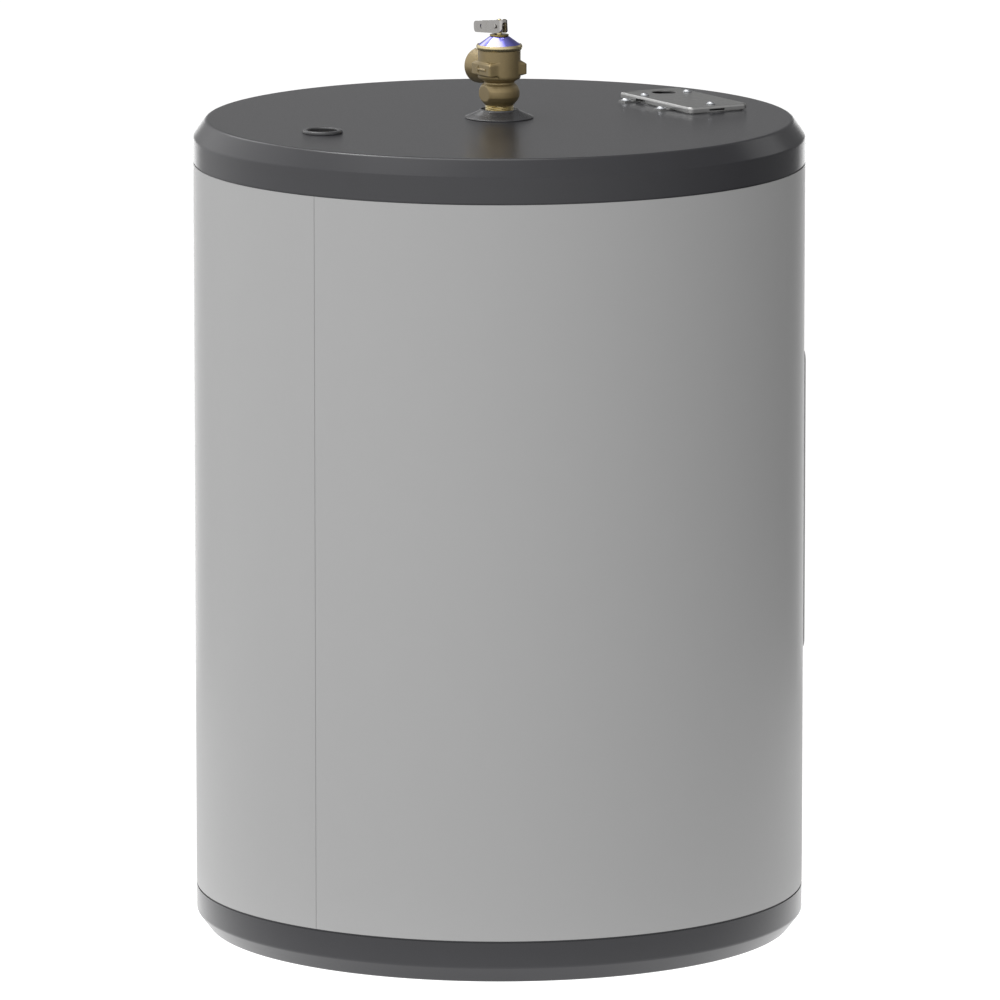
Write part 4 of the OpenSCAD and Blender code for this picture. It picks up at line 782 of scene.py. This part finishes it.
    def build_round_pieces(self) -> None:
        """Bonnet, washer, stem, trim cone and pin, each a profile with small rounded corners."""
        r, neck, top, foot, rim = self.bonnet_r, self.bonnet_neck, self.bonnet_top, self.rim_foot, self.rim_top
        hole, stem, washer_r, throat, cone = self.stem_hole_r, self.stem_r, 8.7, self.neck_r, self.trim_r
        pipe = self.pipe_r + 0.12
        shapes = {
            "relief_valve_bonnet": ("polished_bonnet", "casing", 0.7, [
                (r - 3, foot + 0.75), (r, foot + 0.75), (r, rim - 1.0), (r - 1.2, rim - 0.1),
                (neck + 0.3, top - 0.5), (neck - 0.9, top), (hole, top), (hole, top - 1.2),
                (neck - 0.6, top - 1.2), (r - 3, rim - 0.8), (r - 3, foot + 0.75)]),
            "relief_valve_washer": ("olive_brass", "casing", 0.45, [
                (hole, top + 0.1), (washer_r, top + 0.1), (washer_r, top + 1.6), (hole, top + 1.6),
                (hole, top + 0.1)]),
            "relief_valve_stem": ("turned_brass", "relief_stem", 0.3, [
                (0.0, 37.1), (stem, 37.1), (stem, 40.7), (5.3, 40.7), (5.3, 42.7), (stem, 42.7), (stem, 87.4),
                (1.9, 88.0), (2.2, 88.3), (1.9, 90.1), (1.1, 90.75), (0.0, 90.8)]),
            "relief_valve_trim": ("black_plastic", "casing", 0.5, [
                (cone - 2, 0.1), (cone, 0.1), (cone, 1.0), (24.5, 3.7), (throat + 3.8, 7.0), (throat + 3.5, 8.2),
                (throat + 2.7, 8.2), (throat + 2.4, 6.4), (pipe, 6.2), (pipe, 5.4), (throat + 2.4, 5.2),
                (cone - 2, 0.1)]),
        }
        for node, (slot, body, radius, corners) in shapes.items():
            profile = rounded(corners, radius)
            piece = piece_from(node + "_turned", turned(profile, self.up(), UP, around=144), slot, body)
            close_up(piece, sharp_deg=50)
            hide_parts(node)
            LOG.info("%s: turned, %d rows", node, len(profile))
        half = self.pin_half
        corners = [(0, -half), (1.9, -half), (2.0, -half + 1), (1.4, -half + 1), (1.4, half - 1), (2.0, half - 1),
                   (1.9, half), (0, half)]
        pin = turned(rounded(corners, 0.35), self.up(self.pin_h), np.array([0, 1.0, 0]), around=40)
        piece = piece_from("relief_lever_pin_turned", pin, "lever_steel", "relief_stem")
        close_up(piece, sharp_deg=60)
        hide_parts("relief_lever_pin")
        LOG.info("relief_lever_pin: turned, %.1f mm long", 2 * half)

    def build_lever(self) -> None:
        """Copies the bent strip lever and the parts inside the valve. The spring, which shortens as the stem
        lifts, gets a mesh of its own.
        """
        for node, width in (("relief_lever", 0.35), ("relief_valve_probe", 0.3), ("relief_valve_seat_disc", 0.3)):
            dressed_copy(node, width)
        spring = dressed_copy("relief_valve_spring", 0.0)
        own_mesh(spring)


@dataclass
class DomeScrews:
    """Dome-headed sheet metal screws with a flange, one piece for each group. Lengths are in mm."""

    node: str
    slot: str
    dome_r: float
    flange_r: float
    dome_h: float
    head_h: float
    shank: float
    places: tuple[tuple[float, float], ...]
    shank_r: float = 1.8
    flange_h: float = 0.85

    def build(self) -> None:
        """Turns each screw: flange with a rolled edge, dome r cos, h sin of one angle, and a plain shank."""
        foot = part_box(self.node)[1][2] / MM - self.head_h
        t = np.linspace(0, math.pi / 2, 9)
        dome = np.column_stack([self.dome_r * np.cos(t), self.flange_h + self.dome_h * np.sin(t)])
        head = rounded([(self.shank_r, 0.0), (self.flange_r, 0.0), (self.flange_r, 0.9), (self.dome_r + 0.2, 0.75),
                        (self.dome_r, self.flange_h)], 0.35) / MM
        shank = [[0.0, -self.shank], [1.2, -self.shank + 0.1], [self.shank_r, -self.shank + 1],
                 [self.shank_r, 0.0]]
        profile = np.concatenate([shank, head, dome]) * MM
        screws = merged([turned(profile, np.array([x, y, foot]) * MM, UP, around=36) for x, y in self.places])
        piece = piece_from(self.node + "_turned", screws, self.slot, "casing")
        close_up(piece, sharp_deg=50)
        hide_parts(self.node)
        LOG.info("%s: %d screws", self.node, len(self.places))


@dataclass
class Casing:
    """Jacket, top cap, base pan, foams, the port ring and the trim rings. Edge roundings are in mm."""

    roundings: tuple[tuple[str, float], ...] = (
        ("jacket", 0.0), ("top_cap", 0.0), ("base_pan", 0.0), ("anode_port_ring", 0.3), ("pipe_trim_rings", 0.5),
        ("foam_insulation", 0.0), ("control_foam_dam", 0.6), ("tank_support_ring", 0.8),
    )

    def build(self) -> None:
        """Copies each node with its own edge rounding. The edges of cap and pan bend less and stay sharp too."""
        for node, width in self.roundings:
            dressed_copy(node, width, sharp_deg=20 if node in ("top_cap", "base_pan") else 32)


@dataclass
class JunctionBox:
    """The box in the cap, its cover and the screws of both. Lengths are in mm.

    The screws' places are measured from the cover's middle. Its upper outline is rounded more than other
    edges: those in the top edge_skin of it and within edge_band of its sides, clear of the screws' holes.
    """

    cover_x: float = -5.5
    cover_y: float = -192.5
    cover_screws: tuple[tuple[float, float], ...] = ((28.5, 24.5), (30.5, -22.5), (-51.5, 1.5))
    box_screws: tuple[tuple[float, float], ...] = ((37.1, 39.5), (-26.1, 39.5))
    cover_rounding: float = 2.0
    edge_skin: float = 0.1
    edge_band: float = 3.5
    hole_reach: float = 3.0

    def build(self) -> None:
        """Copies the folded sheets and turns the screws."""
        dressed_copy("junction_box", 0.25)
        dressed_copy("junction_box_cover", self.cover_rounding, sharp_deg=40, chosen=self.outline)
        dressed_copy("ground_screw", 0.4)
        DomeScrews("cover_screws", "zinc_screw", 3.4, 4.2, 1.6, 2.0, 6, self.here(self.cover_screws)).build()
        DomeScrews("junction_box_screws", "zinc_screw", 3.6, 5.0, 1.7, 2.1, 9, self.here(self.box_screws)).build()

    def here(self, spots: tuple[tuple[float, float], ...]) -> tuple[tuple[float, float], ...]:
        """Offsets from the cover's middle as places on the cap."""
        return tuple((self.cover_x + x, self.cover_y + y) for x, y in spots)

    def outline(self, at: np.ndarray) -> np.ndarray:
        """Says which edges run along the cover's upper outline.

        Args:
            at: the middles of the edges, in metres.

        Returns:
            True for each edge of the outline.
        """
        low, high = (np.array(corner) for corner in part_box("junction_box_cover"))
        inwards = np.minimum(at - low, high - at)[:, :2].min(1)
        holes = np.array(self.here(self.cover_screws)) * MM
        clear = np.linalg.norm(at[:, None, :2] - holes[None], axis=2).min(1) > self.hole_reach * MM
        return (at[:, 2] > high[2] - self.edge_skin * MM) & (inwards < self.edge_band * MM) & clear


@dataclass
class WaterConnections:
    """The two nipples and their linings. Lengths are in mm, measured outwards from the tank's axis."""

    row_angle_deg: float = 60.0
    heights: tuple[tuple[str, float], ...] = (("cold_nipple", 120.0), ("hot_nipple", 600.0))
    inner_end: float = 224.6
    outer_end: float = 324.4
    thread_length: float = 20.0
    thread_depth: float = 1.0
    pipe_r: float = 13.35
    bore: float = 10.4

    def build(self) -> None:
        """Turns each nipple with its thread, and copies the linings and the dip tube."""
        way = unit(self.row_angle_deg, 0)
        profile, rule = threaded_end(outer=self.pipe_r, bore=self.bore, back=self.inner_end,
                                     thread_from=self.outer_end - self.thread_length, tip=self.outer_end,
                                     pitch=PIPE_PITCH, depth=self.thread_depth)
        for node, height in self.heights:
            pipe = turned(profile, height * MM * UP, way, around=96, radius_of=rule)
            piece = piece_from(node + "_threaded", pipe, "nipple_steel", "casing")
            close_up(piece, sharp_deg=45)
            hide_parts(node)
            LOG.info("%s: threaded pipe", node)
        for node in ("nipple_liners", "cold_inlet_tube"):
            dressed_copy(node, 0.3)


@dataclass
class DrainValve:
    """The boiler drain with its hose thread and wheel. Lengths are in mm, outwards from the tank's axis.

    The flange stands on the trim ring, whose face clears the round jacket by 1.3 times the depth of its
    curve across the ring, r^2 / (2 R), and by the ring's own sheet.
    """

    row_angle_deg: float = 30.0
    height: float = 88.0
    jacket_r: float = 279.4
    ring_r: float = 25.0
    ring_sheet: float = 2.0
    inner_end: float = 224.6
    way_r: float = 6.5
    pipe_r: float = 13.35
    barrel_r: float = 12.0
    hose_r: float = 13.5
    hose_bore: float = 8.5
    hose_len: float = 13.0
    hex_flats: float = 30.0
    hex_r: float = 17.2
    hex_len: float = 6.0

    def build(self) -> None:
        """Builds the body in two turned forms and copies the moving parts."""
        self.way = unit(self.row_angle_deg, 0)
        self.flange = self.jacket_r + 1.3 * self.ring_r**2 / (2 * self.jacket_r) + self.ring_sheet + 0.1
        self.seat = self.flange + 12
        self.mouth = self.seat + 2 * self.barrel_r
        self.hose_at = self.seat + self.barrel_r - 1
        points, faces = merged([self.barrel(), self.hose_end()])
        body = piece_from("drain_valve_casting", (points, faces), "valve_brass", "casing")
        close_up(body, sharp_deg=40)
        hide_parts("drain_valve_body")
        LOG.info("drain_valve_casting: %d faces", len(faces))
        for node, width in (("drain_packing_nut", 0.5), ("drain_stem", 0.3), ("drain_seat_washer", 0.3),
                            ("drain_handle", 1.0), ("drain_handle_screw", 0.3)):
            dressed_copy(node, width)

    def barrel(self) -> Surface:
        """Shank, hexagon and hollow barrel about the outward axis.

        The hexagon is the rounded smaller of a hexagon and a turned shape with chamfers.

        Returns:
            The points and the faces.
        """
        face, end, mouth = self.flange, self.flange + self.hex_len, self.mouth
        hexed = rounded([(self.pipe_r, face), (15.0, face), (self.hex_r, face + 1.4), (self.hex_r, face + 4.6),
                         (15.0, end), (12.6, end)], 0.5) / MM
        rows = [(self.way_r, self.inner_end), (self.pipe_r, self.inner_end)] + [tuple(row) for row in hexed]
        rows += [(self.barrel_r, face + 7.5), (self.barrel_r, mouth - 0.7), (self.barrel_r - 0.6, mouth)]
        rows += [(9.2, mouth), (9.0, self.seat), (self.way_r, self.seat), (self.way_r, self.inner_end)]

        def radius_of(r: np.ndarray, h: np.ndarray, a: np.ndarray) -> np.ndarray:
            """The hexagon's width where the profile is on it."""
            on = (h >= face * MM - 1e-6) & (h <= end * MM + 1e-6) & (r > (self.pipe_r + 0.05) * MM)
            return np.where(on, soft_min(hexagon(a, self.hex_flats * MM), r, 0.3 * MM), r)

        return turned(np.array(rows) * MM, self.height * MM * UP, self.way, around=96, radius_of=radius_of)

    def hose_end(self) -> Surface:
        """The spout that turns down from the barrel to the hose thread.

        Returns:
            The points and the faces.
        """
        length = self.barrel_r + 6 + self.hose_len
        root = length - self.hose_len
        profile, rule = threaded_end(outer=self.hose_r, bore=self.hose_bore, back=root, thread_from=root + 1,
                                     tip=length, pitch=HOSE_PITCH, depth=1.1)
        neck = rounded([(self.hose_bore, 3.0), (10.9, 3.0), (11.2, root - 1.2), (self.hose_r, root)], 1.5)
        profile = np.concatenate([neck, profile[2:-1], neck[:1]])
        centre = self.way * self.hose_at * MM + self.height * MM * UP
        return turned(profile, centre, -UP, around=96, radius_of=rule)


@dataclass
class Controls:
    """Elements, thermostats, wires and the access panel. Edge roundings are in mm."""

    roundings: tuple[tuple[str, float], ...] = (
        ("access_panel", 0.8), ("access_panel_screws", 0.35), ("panel_insulation", 1.5), ("upper_element", 0.4),
        ("lower_element", 0.4), ("element_gaskets", 0.3), ("element_terminal_blocks", 0.5),
        ("element_terminal_screws", 0.25), ("thermostat_brackets", 0.15), ("upper_thermostat", 0.6),
        ("high_limit_switch", 0.6), ("lower_thermostat", 0.6), ("thermostat_screws", 0.25), ("upper_dial", 0.3),
        ("lower_dial", 0.3), ("reset_button", 0.3), ("black_wires", 0.0), ("red_wires", 0.0), ("blue_wires", 0.0),
        ("yellow_wire", 0.0),
    )

    def build(self) -> None:
        """Copies each node with its own edge rounding; wires keep their round section smooth."""
        for node, width in self.roundings:
            dressed_copy(node, width, sharp_deg=60 if node.endswith(("wires", "wire")) else 32)


@dataclass
class Tank:
    """The welded tank, its spuds, the plug and the anode. Edge roundings are in mm."""

    roundings: tuple[tuple[str, float], ...] = (
        ("tank_shell", 0.0), ("top_head", 0.0), ("bottom_head", 0.0), ("pipe_spuds", 0.4), ("element_spuds", 0.4),
        ("anode_plug", 0.6), ("anode_rod", 0.5),
    )

    def build(self) -> None:
        """Copies each node with its own edge rounding."""
        for node, width in self.roundings:
            dressed_copy(node, width)


def unit(azimuth_deg: float, elevation_deg: float) -> np.ndarray:
    """The unit vector at an azimuth from -Y towards +X and an elevation above the floor.

    It is (sin a cos e, -cos a cos e, sin e).
    """
    a, e = math.radians(azimuth_deg), math.radians(elevation_deg)
    return np.array([math.sin(a) * math.cos(e), -math.cos(a) * math.cos(e), math.sin(e)])


@dataclass(frozen=True)
class Viewpoint:
    """The camera: where it stands round the heater and how long its lens is. Distances are in metres."""

    azimuth_deg: float = CAMERA_AZIMUTH_DEG
    elevation_deg: float = 9.885
    distance: float = 10.0215
    aim_height: float = 0.39402
    aim_right: float = 0.00064
    lens_mm: float = 392.8
    sensor_mm: float = 36.0
    clip: tuple[float, float] = (0.1, 200.0)

    def build(self) -> None:
        """Makes the camera, level, looking at the middle of the heater, and makes it the scene's own."""
        data = bpy.data.cameras.new("camera")
        data.lens, data.sensor_width = self.lens_mm, self.sensor_mm
        data.clip_start, data.clip_end = self.clip
        camera = bpy.data.objects.new("camera", data)
        bpy.context.scene.collection.objects.link(camera)
        right = unit(self.azimuth_deg + 90, 0)
        back = unit(self.azimuth_deg, self.elevation_deg)
        aim = self.aim_right * right + self.aim_height * UP
        camera.location = aim + self.distance * back
        up = np.cross(back, right)
        camera.rotation_mode = "QUATERNION"
        camera.rotation_quaternion = Matrix(np.column_stack([right, up, back]).tolist()).to_quaternion()
        bpy.context.scene.camera = camera


@dataclass(frozen=True)
class Softbox:
    """A soft bright patch of the surrounding light.

    It lies turn_deg round the heater from the camera, counted the way an azimuth is, and raise_deg above
    the floor. It is even out to core_deg from its centre and ends at half_deg; level is its radiance.
    """

    name: str
    turn_deg: float
    raise_deg: float
    core_deg: float
    half_deg: float
    level: float


@dataclass
class Studio:
    """The pale floor and the soft light of the room, which is brightest in front and on the left.

    The floor glows by foot_glow round the heater's foot, out to glow_from metres from its axis, and by
    floor_glow from glow_to on; the extra glow at the foot is painted light that fills the heater's shadow
    there. backdrop is what the eye sees past the floor.
    """

    camera_azimuth_deg: float = CAMERA_AZIMUTH_DEG
    floor_radius: float = 1.3
    floor_grey: str = "898989"
    floor_glow: float = 0.82
    # foot_glow is painted light: it lifts the floor round the foot so that no shadow of the heater shows there.
    foot_glow: float = 1.25
    glow_from: float = 0.31
    glow_to: float = 0.42
    middle: float = 0.765
    towards_front: float = 0.59
    towards_left: float = 0.48
    lowest: float = 0.17
    backdrop: float = 1.05
    softboxes: tuple[Softbox, ...] = (
        Softbox("overhead_softbox", -105.0, 76.0, 12.0, 32.0, 2.6),
        Softbox("key_lamp", -135.0, 60.0, 3.0, 9.0, 11.5),
        Softbox("left_softbox", -128.0, 26.0, 6.0, 40.0, 0.46),
        Softbox("back_softbox", 133.0, 24.0, 3.0, 15.0, 0.6),
        Softbox("far_floor", 180.0, -23.0, 13.0, 31.0, 2.2),
        Softbox("left_back", -152.0, 32.0, 4.0, 12.0, 1.5),
    )

    def build(self) -> None:
        """Makes the floor and the world."""
        self.build_floor()
        self.build_world()

    def build_floor(self) -> None:
        """A flat disc under the heater that glows like a white sweep, more round the foot: painted light that
        fills the heater's shadow there.

        Its glow is a ramp of the distance from the heater's axis.
        """
        angle = np.linspace(0, TURN, 96, endpoint=False)
        ring = np.column_stack([np.cos(angle), np.sin(angle), np.zeros_like(angle)]) * self.floor_radius
        mesh = bpy.data.meshes.new("floor")
        mesh.from_pydata(ring.tolist(), [], [list(range(len(ring)))])
        floor = bpy.data.objects.new("floor", mesh)
        bpy.context.scene.collection.objects.link(floor)
        material = bpy.data.materials.new("white_floor_painted_glow")
        material.use_nodes = True
        tree = material.node_tree
        tree.nodes.clear()
        place = add(tree, "ShaderNodeTexCoord").outputs["Object"]
        far = add(tree, "ShaderNodeVectorMath", {0: place}, operation="LENGTH").outputs["Value"]
        # Painted light: the floor glows more near the foot, filling the heater's shadow on it.
        ramp = {"Value": far, "From Min": self.glow_from, "From Max": self.glow_to, "To Min": self.foot_glow,
                "To Max": self.floor_glow}
        glow = add(tree, "ShaderNodeMapRange", ramp).outputs[0]
        paper = {"Base Color": linear(self.floor_grey), "Roughness": 1.0, "Specular IOR Level": 0.0,
                 "Emission Color": (1, 1, 1, 1), "Emission Strength": glow}
        surface = add(tree, "ShaderNodeBsdfPrincipled", paper)
        add(tree, "ShaderNodeOutputMaterial", {"Surface": surface.outputs[0]})
        mesh.materials.append(material)

    def build_world(self) -> None:
        """A white backdrop for the eye, and round the heater the light of the room.

        The light from direction d is middle + towards_front (d . front) + towards_left (d . left), never
        below the lowest level, plus each softbox: its level times a smooth step of d . centre from the
        cosine of its half angle to that of its core.
        """
        world = bpy.data.worlds.new("studio_world")
        bpy.context.scene.world = world
        world.use_nodes = True
        tree = world.node_tree
        tree.nodes.clear()
        way = add(tree, "ShaderNodeTexCoord").outputs["Generated"]
        front, left = unit(self.camera_azimuth_deg, 0), unit(self.camera_azimuth_deg - 90, 0)
        slope = tuple(self.towards_front * front + self.towards_left * left)
        along = add(tree, "ShaderNodeVectorMath", {0: way, 1: slope}, operation="DOT_PRODUCT").outputs["Value"]
        level = add(tree, "ShaderNodeMath", {0: along, 1: self.middle}, operation="ADD").outputs[0]
        level = add(tree, "ShaderNodeMath", {0: level, 1: self.lowest}, operation="MAXIMUM").outputs[0]
        for box in self.softboxes:
            centre = tuple(unit(self.camera_azimuth_deg + box.turn_deg, box.raise_deg))
            near = add(tree, "ShaderNodeVectorMath", {0: way, 1: centre}, operation="DOT_PRODUCT").outputs["Value"]
            edge, core = (math.cos(math.radians(width)) for width in (box.half_deg, box.core_deg))
            ramp = {"Value": near, "From Min": edge, "From Max": core, "To Max": box.level}
            patch = add(tree, "ShaderNodeMapRange", ramp, interpolation_type="SMOOTHSTEP").outputs[0]
            level = add(tree, "ShaderNodeMath", {0: level, 1: patch}, operation="ADD").outputs[0]
            LOG.info("%s: %.2f at %.0f degrees up", box.name, box.level, box.raise_deg)
        seen = add(tree, "ShaderNodeLightPath").outputs["Is Camera Ray"]
        light = add(tree, "ShaderNodeBackground", {"Color": (1, 1, 1, 1), "Strength": level}).outputs[0]
        sheet = add(tree, "ShaderNodeBackground", {"Color": (1, 1, 1, 1), "Strength": self.backdrop}).outputs[0]
        both = add(tree, "ShaderNodeMixShader", {0: seen, 1: light, 2: sheet}).outputs[0]
        add(tree, "ShaderNodeOutputWorld", {"Surface": both})


def main() -> None:
    logging.basicConfig(level=logging.INFO, format="%(name)s: %(message)s")
    FRAME.update(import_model())
    scene = bpy.context.scene
    scene.view_settings.view_transform = "Standard"
    SLOT_OF.update({row["node"]: row["material_slot"] for row in FRAME["record"]["subparts"]})
    for name, node in FRAME["nodes"].items():
        node.data.materials.clear()
        node.data.materials.append(build_material(FINISHES[SLOT_OF[name]]))
    Viewpoint().build()
    for assembly in (Casing(), Tank(), Controls(), JunctionBox(), WaterConnections(), DrainValve(), ReliefValve()):
        assembly.build()
    Studio().build()


if __name__ == "__main__":
    main()
